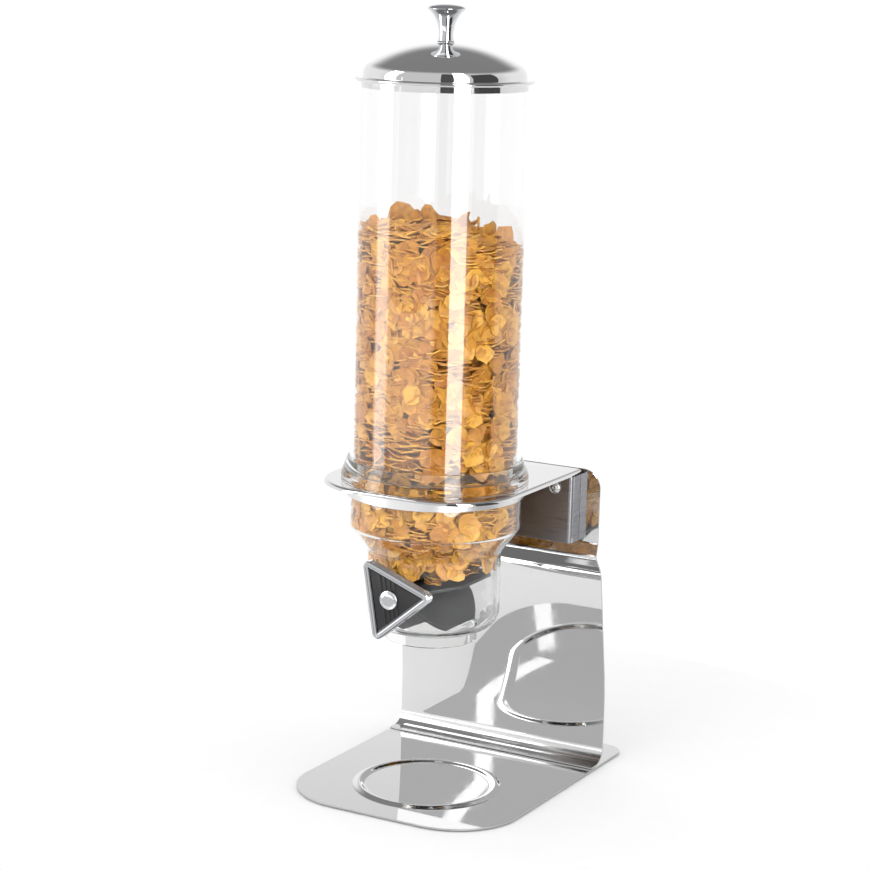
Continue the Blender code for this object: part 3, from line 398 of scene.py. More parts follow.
steel, steel_edge = mirror_steel(), sheared_steel()
base_low, base_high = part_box("base_plate")
base_top = base_low.z + SHEET
bead = [(0, 0), (BEAD_RADIUS - BEAD_HALF_WIDTH - FLAT_EDGE, 0)]
for step in range(2 * BEAD_STEPS + 1):
    across = step / BEAD_STEPS - 1
    lift = BEAD_HEIGHT * (1 + math.cos(math.pi * across)) / 2
    bead.append((BEAD_RADIUS + BEAD_HALF_WIDTH * across, lift))
bead.append((BEAD_RADIUS + BEAD_HALF_WIDTH + FLAT_EDGE, 0))
bowl_mark = turned("bowl_mark", bead, on_axis(base_top), FINE_ROUND)
base = start("pressed_base", bpy.ops.mesh.primitive_plane_add, size=1, location=(0, 0, base_top))
bpy.ops.transform.resize(value=(base_high.x - base_low.x, base_high.y - base_low.y, 1))
bpy.ops.mesh.delete(type="ONLY_FACE")
for side, corner in ((-1, BASE_FRONT_CORNER), (1, BASE_REAR_CORNER)):
    pick("VERT", lambda vertex: vertex.co.y * side > 0.1)
    bpy.ops.mesh.bevel(offset=corner, segments=CORNER_STEPS, affect="VERTICES")
join_in(bowl_mark)
pick("EDGE", lambda edge: len(edge.link_faces) < 2)
bpy.ops.mesh.fill(use_beauty=True)
give_thickness(base, (0, 0, 1))
settle(base, [steel, steel_edge], "stand", "base_plate")

# Foot pads
# Four discs of soft grey rubber, die-cut from sheet and stuck under the base.
def rubber_pad():
    """Die-cut rubber sheet: dull grey with a fine grain 0.6 mm across."""
    grain = {"tint": ("5C5C5E", "707072"), "dull": (0.3, 0.7, 0.7, 0.9)}
    return patterned("die_cut_rubber", {"Specular IOR Level": 0.3}, 0.6, 2, **grain)[0]

def dress(material, *node_names):
    """Gives the pieces that keep their CAD shape their real material."""
    for node_name in node_names:
        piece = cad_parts[node_name]
        piece.data.materials.clear()
        piece.data.materials.append(material)

rubber = rubber_pad()
for row in ("front", "rear"):
    dress(rubber, f"foot_pad_{row}_left", f"foot_pad_{row}_right")

# Upright
# One sheet of the same polished stainless, bent to a short foot, a rounded heel, a gentle lean to
# the front and a step under the shelf. Its foot is spot-welded to the base plate.
UPRIGHT_CORNER = 0.016
UPRIGHT_CORNER_STEPS = 16
HEEL_SETBACK = 0.0252
HEEL_DULLED_HEIGHT = 0.0125
HEEL_DULLING = 0.14
UPRIGHT_SHARES = [(0.2, 0), (1, 0), (1, 0.236), (0.337, 0.655), (-0.115, 0.713), (0, 0.758), (0, 1)]
UPRIGHT_BENDS = [0.012, 0.300, 0.030, 0.006, 0.010]
BEND_STEP = math.radians(6)
BEND_CHORD = 0.004
FIT_GAP = 0.0003

def bent(corners, bends):
    """A path of straight runs with a round bend at each inner corner. A point a little outside
    each bend keeps the flats beside it flat when the piece is shaded smooth."""
    corners = [Vector(corner) for corner in corners]
    turns = [math.pi - (a - b).angle(c - b) for a, b, c in zip(corners, corners[1:], corners[2:])]
    runs = [0, *[radius * math.tan(turn / 2) for radius, turn in zip(bends, turns)], 0]
    path = [corners[0]]
    for index, (radius, turn) in enumerate(zip(bends, turns), start=1):
        corner = corners[index]
        back, ahead = corners[index - 1] - corner, corners[index + 1] - corner
        to_back, to_ahead = back.normalized(), ahead.normalized()
        first = corner + to_back * runs[index]
        middle = corner + (to_back + to_ahead).normalized() * (radius / math.cos(turn / 2))
        hand = 1 if back.x * ahead.y - back.y * ahead.x < 0 else -1
        steps = math.ceil(max(turn / BEND_STEP, radius * turn / BEND_CHORD, 2))
        if back.length > runs[index] + runs[index - 1] + 3 * FLAT_EDGE:
            path.append(first + to_back * FLAT_EDGE)
        for step in range(steps + 1):
            spoke = Matrix.Rotation(hand * turn * step / steps, 2) @ (first - middle)
            path.append(middle + spoke)
        if ahead.length > runs[index] + runs[index + 1] + 3 * FLAT_EDGE:
            path.append(corner + to_ahead * (runs[index] + FLAT_EDGE))
    return [*path, corners[-1]]

upright_low, upright_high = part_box("back_plate")
foot_top = upright_low.z + SHEET
rise = upright_high.z - foot_top
upright_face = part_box("bracket_spacer_left")[1].y + SHEET + 2 * FIT_GAP
outline = bent([(HEEL_SETBACK * y, rise * z) for y, z in UPRIGHT_SHARES], UPRIGHT_BENDS)
left_edge = [Vector((upright_low.x, upright_face + y, foot_top + z)) for y, z in outline]
upright = traced("bent_upright", left_edge)
pick_all()
extrude(upright_high.x - upright_low.x, 0, 0)
pick("VERT", lambda vertex: vertex.co.z + left_edge[0].z > upright_high.z - TINY)
bpy.ops.mesh.bevel(offset=UPRIGHT_CORNER, segments=UPRIGHT_CORNER_STEPS, affect="VERTICES")
give_thickness(upright, (0, -1, 0))
heel = (0, foot_top + HEEL_DULLED_HEIGHT)
heel_steel = mirror_steel("mirror_stainless_dulled_heel", heel, HEEL_DULLING)
settle(upright, [heel_steel, steel_edge], "stand", "back_plate")

# Shelf
# The plate that carries the hopper: the same sheet with its front and side edges rolled down, a
# drawn collar round its hole and a tab at the rear that is bent down against the upright.
HOLE_RADIUS = 0.0718
SHELF_CORNER = 0.058
SHELF_ROLL = 0.003
COLLAR_BEND = 0.0014
COLLAR_DROP = 0.0113
COLLAR_DULLED_DEPTH = 0.03
COLLAR_DULLING = 0.3
TAB_HALF_WIDTH = 0.075
TAB_DROP = 0.028
TAB_BEND = 0.002
BEND_STEPS = 8

def quarter_bend(radius):
    """The steps, ahead and sideways, that bend a sheet through a quarter circle."""
    angles = [math.pi / 2 * step / BEND_STEPS for step in range(BEND_STEPS + 1)]
    for before, after in zip(angles, angles[1:]):
        ahead = radius * (math.sin(after) - math.sin(before))
        yield ahead, radius * (math.cos(before) - math.cos(after))

def slice_at(place, outwards, clear_outer=False):
    """Cuts the whole open piece along a plane, and may clear what lies outside it."""
    pick_all()
    bpy.ops.mesh.bisect(plane_co=place, plane_no=outwards, clear_outer=clear_outer)

def rim_of_top(edge):
    """Whether an edge bounds the shelf's flat top, at its outside or round its hole."""
    return len(edge.link_faces) == 1 and all(v.co.z > SHELF_ROLL - TINY for v in edge.verts)

def tab_root(edge):
    """Whether an edge lies where the shelf's rear tab starts."""
    at_rear = all(shelf.location.y + v.co.y > shelf_rear - TINY for v in edge.verts)
    inside = all(abs(v.co.x) < TAB_HALF_WIDTH + TINY for v in edge.verts)
    return len(edge.link_faces) == 1 and at_rear and inside

shelf_low, shelf_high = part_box("shelf_plate")
shelf_rear = shelf_high.y - TAB_BEND
collar_corners = [(HOLE_RADIUS, -COLLAR_DROP), (HOLE_RADIUS, 0)]
collar_corners += [(HOLE_RADIUS + COLLAR_BEND + FLAT_EDGE, 0)]
collar_path = bent(collar_corners, [COLLAR_BEND])
shelf_collar = turned("shelf_collar", collar_path, on_axis(shelf_high.z), FINE_ROUND)
offcut = shelf_rear + 2 * SHELF_ROLL
shelf = start(
    "rolled_shelf",
    bpy.ops.mesh.primitive_plane_add,
    size=1,
    location=(0, (shelf_low.y + offcut) / 2, shelf_high.z - SHELF_ROLL),
)
bpy.ops.transform.resize(value=(shelf_high.x - shelf_low.x, offcut - shelf_low.y, 1))
pick("VERT", lambda vertex: vertex.co.y < 0)
bpy.ops.mesh.bevel(offset=SHELF_CORNER, segments=CORNER_STEPS, affect="VERTICES")
pick_all()
for ahead, sideways in quarter_bend(SHELF_ROLL):
    bpy.ops.mesh.inset(thickness=sideways, depth=ahead)
bpy.ops.mesh.inset(thickness=FLAT_EDGE)
bpy.ops.mesh.delete(type="ONLY_FACE")
join_in(shelf_collar)
pick("EDGE", rim_of_top)
bpy.ops.mesh.fill(use_beauty=True)
slice_at((0, shelf_rear, 0), (0, 1, 0), clear_outer=True)
for side in (-1, 1):
    slice_at((side * TAB_HALF_WIDTH, 0, 0), (1, 0, 0))
pick("EDGE", tab_root)
for ahead, sideways in quarter_bend(TAB_BEND):
    extrude(0, ahead, -sideways)
extrude(0, 0, -FLAT_EDGE)
extrude(0, 0, TAB_BEND + FLAT_EDGE - TAB_DROP)
give_thickness(shelf, (0, 0, 1))
dulled = (shelf_high.z - COLLAR_DULLED_DEPTH, shelf_high.z - SHELF_ROLL)
collar_steel = mirror_steel("mirror_stainless_dulled_collar", dulled, COLLAR_DULLING)
settle(shelf, [collar_steel, steel_edge], "stand", "shelf_plate")

# Channel
# A strip of stainless sheet, bright-rolled and left unpolished, bent to a U, with its darker grey
# painted on as shade.
# It closes the space between the shelf and the upright at the front and the sides, and stiffens
# both.
CHANNEL_BEND = 0.0035

def rolled_steel_painted_shade():
    """Stainless sheet as it leaves the mill, bright-rolled but not polished, so it blurs what it
    reflects, with rolling marks 0.5 mm apart that run along the strip. Its darker grey is painted
    shade, for the shade under the shelf and the shaded hopper that it reflects."""
    marks = {"dull": (0.3, 0.7, 0.26, 0.4)}
    # Painted shade: the dark grey 8E8E92 stands in for the shade under the shelf, where the channel
    # reflects the shaded hopper.
    return patterned("bright_rolled_stainless_painted_shade", metal("8E8E92"), (60, 60, 0.5), 2, **marks)[0]

low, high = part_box("bracket_channel")
plan = bent(
    [(low.x, high.y), (low.x, low.y), (high.x, low.y), (high.x, high.y)],
    [CHANNEL_BEND, CHANNEL_BEND],
)
channel = traced("bent_channel", [Vector((x, y, low.z)) for x, y in plan])
pick_all()
extrude(0, 0, high.z - low.z)
pick("VERT", lambda v: v.co.z > TINY and v.co.y + high.y > low.y + FLAT_EDGE)
bpy.ops.transform.translate(value=(0, 0, -SHELF_ROLL))
give_thickness(channel, (0, -1, 0))
settle(channel, [rolled_steel_painted_shade(), steel_edge], "stand", "bracket_channel")

# Bracket fasteners
# Two dome-head socket screws of turned stainless steel run through the channel, a spacer, the
# shelf's tab and the upright to a washer and a hexagon nut behind it.
SOCKET_RADIUS = 0.0016
SOCKET_DEPTH = 0.0018
SHANK_RADIUS = 0.0025
HEAD_HEIGHT = 0.003
DOME_STEPS = 12
NUT_CHAMFER = 0.0005
SMALL_ROUND = 48

def turned_steel():
    """Stainless bar, turned on a lathe: bright grey, with ring marks 0.35 mm apart that show as
    fine variation in how sharp its reflections are."""
    marks = {"dull": (0.3, 0.7, 0.14, 0.34), "relief": (0.3, 0.00002)}
    return patterned("turned_stainless", metal("C4C4C5"), 0.35, 2, **marks)[0]

def middle_of(node_name):
    low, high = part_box(node_name)
    return (low + high) / 2

bar_steel = turned_steel()
for hand in ("left", "right"):
    low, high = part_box(f"bracket_screw_{hand}")
    seat = low.y + HEAD_HEIGHT
    head_radius = (high.x - low.x) / 2
    first = math.asin(SOCKET_RADIUS / head_radius)
    angles = [first + (math.pi / 2 - first) * step / DOME_STEPS for step in range(DOME_STEPS + 1)]
    floor = HEAD_HEIGHT - SOCKET_DEPTH
    profile = [(0, floor), (SOCKET_RADIUS, floor)]
    profile += [(head_radius * math.sin(a), HEAD_HEIGHT * math.cos(a)) for a in angles]
    profile += [(SHANK_RADIUS, 0), (SHANK_RADIUS, seat - high.y + NUT_CHAMFER)]
    profile += [(SHANK_RADIUS - NUT_CHAMFER, seat - high.y), (0, seat - high.y)]
    screw_axis = middle_of(f"bracket_screw_{hand}")
    screw_axis.y = seat
    screw = turned(f"dome_screw_{hand}", profile, screw_axis, SMALL_ROUND, (0, -1, 0))
    settle(screw, [bar_steel], "stand", f"bracket_screw_{hand}")

    for kind in ("spacer", "washer"):
        low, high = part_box(f"bracket_{kind}_{hand}")
        outer, bore, length = (high.x - low.x) / 2, SHANK_RADIUS + FIT_GAP, high.y - low.y
        edge = length / 10
        profile = [(bore, 0), (outer - edge, 0), (outer, edge), (outer, length - edge)]
        profile += [(outer - edge, length), (bore, length), (bore, 0)]
        rear = middle_of(f"bracket_{kind}_{hand}")
        rear.y = high.y
        ring = turned(f"turned_{kind}_{hand}", profile, rear, SMALL_ROUND, (0, -1, 0))
        settle(ring, [bar_steel], "stand", f"bracket_{kind}_{hand}")

    low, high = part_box(f"bracket_nut_{hand}")
    nut = start(
        f"hexagon_nut_{hand}",
        bpy.ops.mesh.primitive_cylinder_add,
        vertices=6,
        radius=(high.x - low.x) / 2,
        depth=high.y - low.y,
        location=middle_of(f"bracket_nut_{hand}"),
        rotation=(math.pi / 2, math.pi / 2, 0),
    )
    pick_all()
    bpy.ops.mesh.bevel(offset=NUT_CHAMFER, segments=3, affect="EDGES")
    settle(nut, [bar_steel], "stand", f"bracket_nut_{hand}")

# Hopper
# One clear moulding: the socket for the tube with its sloping collar, the flange that hangs on the
# shelf, the funnel, the round wheel chamber and the spout, with a boss at the front and the rear.
HOPPER_WALL = 0.0025
HOPPER_SOCKET_DEPTH = 0.011
SOCKET_GAP = 0.0004
SOCKET_LIP = 0.0012
FLANGE_THICKNESS = 0.0046
HOPPER_RADIUS = 0.071
CHAMBER_RADIUS = 0.056
SPOUT_RADIUS = 0.0378
SHOULDER_DEPTH = 0.0385
CONE_DEPTH = 0.0588
BOWL_DEPTH = 0.1239
HOPPER_BENDS = [0.004, 0.006, 0.0165, 0.0015]
MOULDED_EDGE = 0.0004
COLLAR_FOOT_BEND = 0.004
BOSS_RADIUS = 0.0145
BUSH_HOLE = 0.0093
BUSH_FLANGE = 0.0015
HOPPER_ROUND = 160
BOSS_ROUND = 72

def shifted(path, distance):
    """A path moved sideways, to the left of its direction, by the thickness of a wall."""
    normals = [(b - a).orthogonal().normalized() for a, b in zip(path, path[1:])]
    moved = [path[0] + normals[0] * distance]
    for point, first, second in zip(path[1:], normals, normals[1:]):
        mitre = (first + second).normalized()
        moved.append(point + mitre * (distance / mitre.dot(second)))
    return moved + [path[-1] + normals[-1] * distance]

def cut_with(piece, operation, name, **size):
    """Joins a rod to a piece, or drills a hole in it, and applies the cut."""
    alone()
    bpy.ops.mesh.primitive_cylinder_add(**size)
    rod = bpy.context.object
    rod.name = name
    bpy.context.view_layer.objects.active = piece
    modify(piece, name, "BOOLEAN", operation=operation, solver="EXACT", object=rod)
    bpy.ops.object.modifier_apply(modifier=name)
    bpy.data.objects.remove(rod)

def clear_plastic(name, colour, lines_mm, relief_mm, trapped_after):
    """A glass-clear plastic. Light from the lamps goes straight through it to what it holds, as it
    nearly does in such a thin wall, and so does a ray that has bounced this many times and would
    be trapped in the wall. Faint lines from the die or the mould bend what shows behind."""
    values = {"Base Color": linear(colour), "Roughness": 0, "IOR": 1.49, "Transmission Weight": 1}
    made, tree, shader, _ = patterned(
        name, values, (lines_mm, lines_mm, 250), 1, relief=(0.5, relief_mm / 1000)
    )
    through = node(tree, "BsdfTransparent", {0: linear("F4F6F6")})
    path = node(tree, "LightPath").outputs
    trapped = node(
        tree, "Math", {1: trapped_after}, {0: path["Ray Depth"]}, operation="GREATER_THAN"
    )
    ends = {0: path["Is Shadow Ray"], 1: trapped}
    straight_on = node(tree, "Math", links=ends, operation="MAXIMUM")
    either = node(tree, "MixShader", links={0: straight_on, 1: shader, 2: through})
    link(tree, either, tree.nodes["Material Output"], "Surface")
    return made

moulded_clear = clear_plastic("clear_moulded_copolyester", "FAFAFA", 14, 0.02, 3)
drawn_clear = clear_plastic("clear_extruded_acrylic", "FBFBFB", 11, 0.012, 5)
hopper_low, hopper_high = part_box("hopper")
flange_radius = (hopper_high.x - hopper_low.x) / 2
tube_radius = (tube_high.x - tube_low.x) / 2
socket_radius = tube_radius + SOCKET_GAP
flange_under = shelf_high.z + FIT_GAP
rim_height = hopper_high.z - flange_under
seat_height = rim_height - HOPPER_SOCKET_DEPTH
spout_depth = flange_under - hopper_low.z
outside_corners = [(HOPPER_RADIUS, 0), (HOPPER_RADIUS, -SHOULDER_DEPTH)]
outside_corners += [(CHAMBER_RADIUS, -CONE_DEPTH), (CHAMBER_RADIUS, -BOWL_DEPTH)]
outside_corners += [(SPOUT_RADIUS, -BOWL_DEPTH), (SPOUT_RADIUS, -spout_depth)]
outside = bent(outside_corners, HOPPER_BENDS)
inside = shifted(outside, -HOPPER_WALL)[::-1]
collar_corners = [(HOPPER_RADIUS - HOPPER_WALL, seat_height), (socket_radius, seat_height)]
collar_corners += [(socket_radius, rim_height), (socket_radius + SOCKET_LIP, rim_height)]
collar_corners += [(flange_radius, FLANGE_THICKNESS), (flange_radius, 0), (HOPPER_RADIUS, 0)]
collar = bent(collar_corners, [MOULDED_EDGE] * 3 + [COLLAR_FOOT_BEND, MOULDED_EDGE])
wall = collar[:-1] + outside + inside
wall[-1] = collar[0]
hopper = turned("clear_hopper", wall, on_axis(flange_under), HOPPER_ROUND)
wheel_centre = middle_of("wheel_hub")
boss_face = AXIS.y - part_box("front_bush")[0].y - BUSH_FLANGE - FIT_GAP
boss_back = math.sqrt((CHAMBER_RADIUS - HOPPER_WALL) ** 2 - BOSS_RADIUS**2)
lying = {"vertices": BOSS_ROUND, "rotation": (math.pi / 2, 0, 0)}
for side, end in ((-1, "front"), (1, "rear")):
    place = wheel_centre + Vector((0, side * (boss_face + boss_back) / 2, 0))
    boss = {"radius": BOSS_RADIUS, "depth": boss_face - boss_back, "location": place}
    cut_with(hopper, "UNION", f"boss_{end}", **boss, **lying)
bore = {"radius": BUSH_HOLE, "depth": 3 * boss_face, "location": wheel_centre}
cut_with(hopper, "DIFFERENCE", "bush_holes", **bore, **lying)
settle(hopper, [moulded_clear], "hopper", "hopper", smooth=28)

# Bushes
# Two flanged bearing bushes of black nylon, pressed into the bosses from outside.
BUSH_RADIUS = 0.009
SHAFT_BORE = 0.0043
BUSH_EDGE = 0.0004

def black_nylon():
    """Injection-moulded nylon off a spark-eroded mould: black with a fine satin grain 0.5 mm
    across, a little lighter where the grain stands up."""
    grain = {"tint": ("141416", "222225"), "dull": (0.3, 0.7, 0.28, 0.45), "relief": (0.3, 0.00003)}
    return patterned("moulded_black_nylon", (), 0.5, 2, **grain)[0]

nylon = black_nylon()
for side, end in ((-1, "front"), (1, "rear")):
    low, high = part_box(f"{end}_bush")
    flange = (high.x - low.x) / 2
    face = (high.y - low.y) + boss_back
    corners = [(SHAFT_BORE, boss_back), (SHAFT_BORE, face), (flange, face)]
    corners += [(flange, face - BUSH_FLANGE), (BUSH_RADIUS, face - BUSH_FLANGE)]
    corners += [(BUSH_RADIUS, boss_back), (SHAFT_BORE, boss_back)]
    profile = bent(corners, [BUSH_EDGE] * 5)
    bush = turned(f"moulded_bush_{end}", profile, wheel_centre, BOSS_ROUND, (0, side, 0))
    settle(bush, [nylon], "hopper", f"{end}_bush")

# Tube
# A length of stock clear tube, sawn and flame-polished at its ends. It stands in the hopper's
# socket and is open at both ends.
TUBE_WALL = 0.003
TUBE_EDGE = 0.0005
tube_bore = tube_radius - TUBE_WALL
length = tube_high.z - tube_low.z
corners = [(tube_bore, length / 2), (tube_bore, 0), (tube_radius, 0), (tube_radius, length)]
corners += [(tube_bore, length), (tube_bore, length / 2)]
tube = turned("clear_tube", bent(corners, [TUBE_EDGE] * 4), on_axis(tube_low.z), FINE_ROUND)
settle(tube, [drawn_clear], "tube", "tube")

# Lid
# A head spun from thin stainless sheet and polished: one large crown radius, a small knuckle, a
# hemmed flange that lies on the tube's rim and a short skirt that plugs into the tube.
LID_SHEET = 0.0012
LID_SKIRT_RADIUS = 0.0652
LID_CROWN = 0.118
LID_KNUCKLE = 0.011
LID_FLANGE = 0.0022
LID_PLUG_GAP = 0.0006
LID_HOLE = 0.0023
LID_BENDS = [0.0008, 0.00105, 0.00105, 0.0004, 0.0003, 0.0003, 0.0006]
CROWN_STEPS = 24
KNUCKLE_STEPS = 16

def arc(centre, radius, first, last, steps):
    """Points along an arc between two angles from straight up, as radii and heights."""
    angles = [first + (last - first) * step / steps for step in range(steps + 1)]
    across, up = centre
    return [Vector((across + radius * math.sin(a), up + radius * math.cos(a))) for a in angles]

lid_low, lid_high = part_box("lid_dome")
lid_bottom = tube_high.z + FIT_GAP
crown_centre = lid_high.z - lid_bottom - LID_CROWN
knuckle_centre = LID_SKIRT_RADIUS - LID_KNUCKLE
crown_to_knuckle = math.sqrt((LID_CROWN - LID_KNUCKLE) ** 2 - knuckle_centre**2)
meeting = math.atan2(knuckle_centre, crown_to_knuckle)
crown = arc((0, crown_centre), LID_CROWN, math.asin(LID_HOLE / LID_CROWN), meeting, CROWN_STEPS)
knuckle = (knuckle_centre, crown_centre + crown_to_knuckle)
crown += arc(knuckle, LID_KNUCKLE, meeting, math.pi / 2, KNUCKLE_STEPS)[1:]
crown_inside = shifted(crown, -LID_SHEET)[::-1]
lid_radius = (lid_high.x - lid_low.x) / 2
plug_radius, plug_end = tube_bore - LID_PLUG_GAP, lid_low.z - lid_bottom
corners = [crown[-1], (LID_SKIRT_RADIUS, LID_FLANGE), (lid_radius, LID_FLANGE), (lid_radius, 0)]
corners += [(plug_radius, 0), (plug_radius, plug_end), (plug_radius - LID_SHEET, plug_end)]
corners += [(plug_radius - LID_SHEET, LID_FLANGE / 4), crown_inside[0]]
profile = crown[:-1] + bent(corners, LID_BENDS) + crown_inside[1:] + crown[:1]
lid = turned("spun_lid", profile, on_axis(lid_bottom), FINE_ROUND)
settle(lid, [steel], "lid", "lid_dome", smooth=40)
dress(bar_steel, "lid_screw", "lid_washer")

# Lid knob
# A trumpet-shaped knob, cast in zinc, turned, polished and chromed, screwed on from below.
LID_KNOB_SHARES = [
    (0, 1), (0.45, 0.99), (0.84, 0.945), (1, 0.885), (0.97, 0.85), (0.76, 0.745),
    (0.57, 0.60), (0.45, 0.45), (0.385, 0.28), (0.375, 0.15), (0.42, 0.05), (0.49, 0),
]
SMOOTH_STEPS = 6
KNOB_ROUND = 96

def smooth_line(points, steps):
    """A smooth curve through all the points, with this many steps from one to the next."""
    padded = [points[0], *points, points[-1]]
    curve = [points[0]]
    for before, here, there, after in zip(padded, padded[1:], padded[2:], padded[3:]):
        for step in range(1, steps + 1):
            t = step / steps
            once = 2 * here + (there - before) * t
            twice = (2 * before - 5 * here + 4 * there - after) * t**2
            curve.append((once + twice + (3 * here - before - 3 * there + after) * t**3) / 2)
    return curve

def chrome_plate():
    """Bright decorative chrome over polished zinc: a shade darker and bluer than the steel, very
    sharp, with a faint orange peel 3 mm across from the casting's polish."""
    peel = {"dull": (0.3, 0.75, 0.015, 0.06), "relief": (0.25, 0.00002)}
    return patterned("bright_chrome_plate", metal("D6D7DA"), 3, 1, **peel)[0]

chrome = chrome_plate()
low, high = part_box("lid_knob")
knob_radius, knob_height = (high.x - low.x) / 2, high.z - low.z
shape = [Vector((knob_radius * r, knob_height * z)) for r, z in LID_KNOB_SHARES]
profile = smooth_line(shape, SMOOTH_STEPS) + [Vector((0, 0))]
profile = [Vector((max(point.x, 0), point.y)) for point in profile]
lid_knob = turned("trumpet_knob", profile, on_axis(low.z), KNOB_ROUND)
settle(lid_knob, [chrome], "lid", "lid_knob", smooth=50)

# Drive shaft
# A turned stainless shaft with a flat for the hub and the knob, held by an open spring clip, and
# the set screw that holds the knob on it.
dress(bar_steel, "drive_shaft", "shaft_clip", "knob_set_screw")

# Paddle wheel
# Six flexible vanes of black silicone stand in slots of a moulded hub. Their corners are cut round
# so that they clear the chamber as they turn, and their edges are soft.
WHEEL_TURN = math.radians(10)
VANES = 6
HUB_RADIUS = 0.010
VANE_ROOT = 0.0063
VANE_REACH = 0.043
VANE_HALF_LENGTH = 0.044
VANE_THICKNESS = 0.003
SWEEP_RADIUS = 0.0487
VANE_EDGE = 0.0008
HUB_EDGE = 0.001

def black_silicone():
    """Compression-moulded silicone: soft black with a dusty satin surface. Flour from the cereal
    leaves it a little greyer in blotches 8 mm across."""
    dust = {"tint": ("0A0A0B", "151516"), "dull": (0.3, 0.7, 0.38, 0.55)}
    return patterned("moulded_black_silicone", (), 8, 4, **dust)[0]

silicone = black_silicone()
low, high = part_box("wheel_hub")
half = (high.y - low.y) / 2
corners = [(SHAFT_BORE, -half), (HUB_RADIUS, -half), (HUB_RADIUS, half)]
corners += [(SHAFT_BORE, half), (SHAFT_BORE, -half)]
profile = bent(corners, [HUB_EDGE, HUB_EDGE, HUB_EDGE / 4])
hub = turned("moulded_hub", profile, wheel_centre, BOSS_ROUND, (0, 1, 0))
settle(hub, [silicone], "wheel", "wheel_hub")

for index in range(VANES):
    vane = start(
        f"moulded_vane_{index + 1}",
        bpy.ops.mesh.primitive_circle_add,
        vertices=FINE_ROUND,
        radius=SWEEP_RADIUS,
        fill_type="NGON",
        location=wheel_centre,
    )
    slice_at(wheel_centre + Vector((VANE_ROOT, 0, 0)), (-1, 0, 0), clear_outer=True)
    slice_at(wheel_centre + Vector((VANE_REACH, 0, 0)), (1, 0, 0), clear_outer=True)
    for side in (1, -1):
        end = Vector((0, side * VANE_HALF_LENGTH, 0))
        slice_at(wheel_centre + end, (0, side, 0), clear_outer=True)
    modify(vane, "wall", "SOLIDIFY", thickness=VANE_THICKNESS, offset=0)
    soften(vane, "soft_edge", VANE_EDGE, 3, 40)
    vane.rotation_euler = (0, -WHEEL_TURN - index * math.pi / 3, 0)
    settle(vane, [silicone], "wheel", f"vane_{index + 1}")

# Front knob
# A triangular knob, cast in zinc and chromed. Its sides are knurled to grip: four grooves run
# round them and fine ridges run across. Its front has a bright rim round a recess.
KNOB_REACH = 0.036
KNOB_CORNER = 0.005
KNOB_LEAST_CORNER = 0.0004
KNOB_EDGE = 0.0008
KNOB_RIM = 0.0024
KNOB_LINE = 0.0004
KNOB_LINE_DEPTH = 0.0006
KNOB_BEAD = 0.0009
KNOB_SLOPE = 0.0009
KNOB_RECESS = 0.0026
KNOB_GROOVES = 4
KNOB_GROOVE_DEPTH = 0.0005
KNURL_PITCH = 0.0013
KNURL_DEPTH = 0.0003
SET_SCREW_HOLE = 0.0018
SET_SCREW_HOLE_OUT_SHARE = 1.9
SET_SCREW_HOLE_FLOOR = 0.0033
knob_turn = (
    Matrix.Translation(wheel_centre)
    @ Matrix.Rotation(math.pi / 2, 4, "X")
    @ Matrix.Rotation(WHEEL_TURN, 4, "Z")
)
low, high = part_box("knob_frame")
knob_back, knob_front = wheel_centre.y - high.y, wheel_centre.y - low.y
side_height = knob_front - knob_back - 2 * KNOB_EDGE

def triangle(inset, height):
    """Points round a triangle with round corners, drawn in by an inset, at this height."""
    sharp = KNOB_REACH + KNOB_CORNER - 2 * inset
    angles = (0, 2 * math.pi / 3, 4 * math.pi / 3)
    corners = [(sharp * math.cos(angle), sharp * math.sin(angle)) for angle in angles]
    middle = ((corners[0][0] + corners[2][0]) / 2, (corners[0][1] + corners[2][1]) / 2)
    path = bent([middle, *corners, middle], [max(KNOB_CORNER - inset, KNOB_LEAST_CORNER)] * 3)
    return [Vector((x, y, height)) for x, y in path]

frame_piece = traced("chromed_knob", triangle(0, knob_back + KNOB_EDGE))
close_seams()
pick("VERT", lambda v: v.co.length < TINY)
bpy.ops.mesh.dissolve_verts()
straight = 2 * (KNOB_REACH + KNOB_CORNER) * math.sin(math.pi / 3)
straight -= 2 * KNOB_CORNER / math.tan(math.pi / 6)
run = straight - 2 * FLAT_EDGE
ridges = round(straight / KNURL_PITCH)
pick("EDGE", lambda edge: edge.calc_length() > straight * 0.4)
bpy.ops.mesh.subdivide(number_cuts=ridges - 1)
pick_all()
rows = 2 * (2 * KNOB_GROOVES + 1)
for row in range(rows):
    extrude(0, 0, side_height / rows)
    pick("VERT", lambda v: v.co.z > (row + 0.5) * side_height / rows)
for cap, turn in ((0, -1), (side_height, 1)):
    pick("VERT", lambda v: abs(v.co.z - cap) < TINY)
    bpy.ops.mesh.edge_face_add()
    bpy.ops.mesh.inset(thickness=KNOB_EDGE)
    bpy.ops.transform.translate(value=(0, 0, turn * KNOB_EDGE))
bpy.ops.mesh.inset(thickness=KNOB_RIM - KNOB_EDGE)
for drop in (-KNOB_LINE_DEPTH, 0, KNOB_LINE_DEPTH):
    bpy.ops.mesh.inset(thickness=KNOB_LINE)
    bpy.ops.transform.translate(value=(0, 0, drop))
bpy.ops.mesh.inset(thickness=KNOB_BEAD)
bpy.ops.mesh.inset(thickness=KNOB_SLOPE)
bpy.ops.transform.translate(value=(0, 0, -KNOB_RECESS))
face_outwards()
for row in range(KNOB_GROOVES):
    groove = side_height / rows * (4 * row + 3)
    pick("VERT", lambda v: abs(v.co.z - groove) < TINY)
    bpy.ops.transform.shrink_fatten(value=-KNOB_GROOVE_DEPTH)

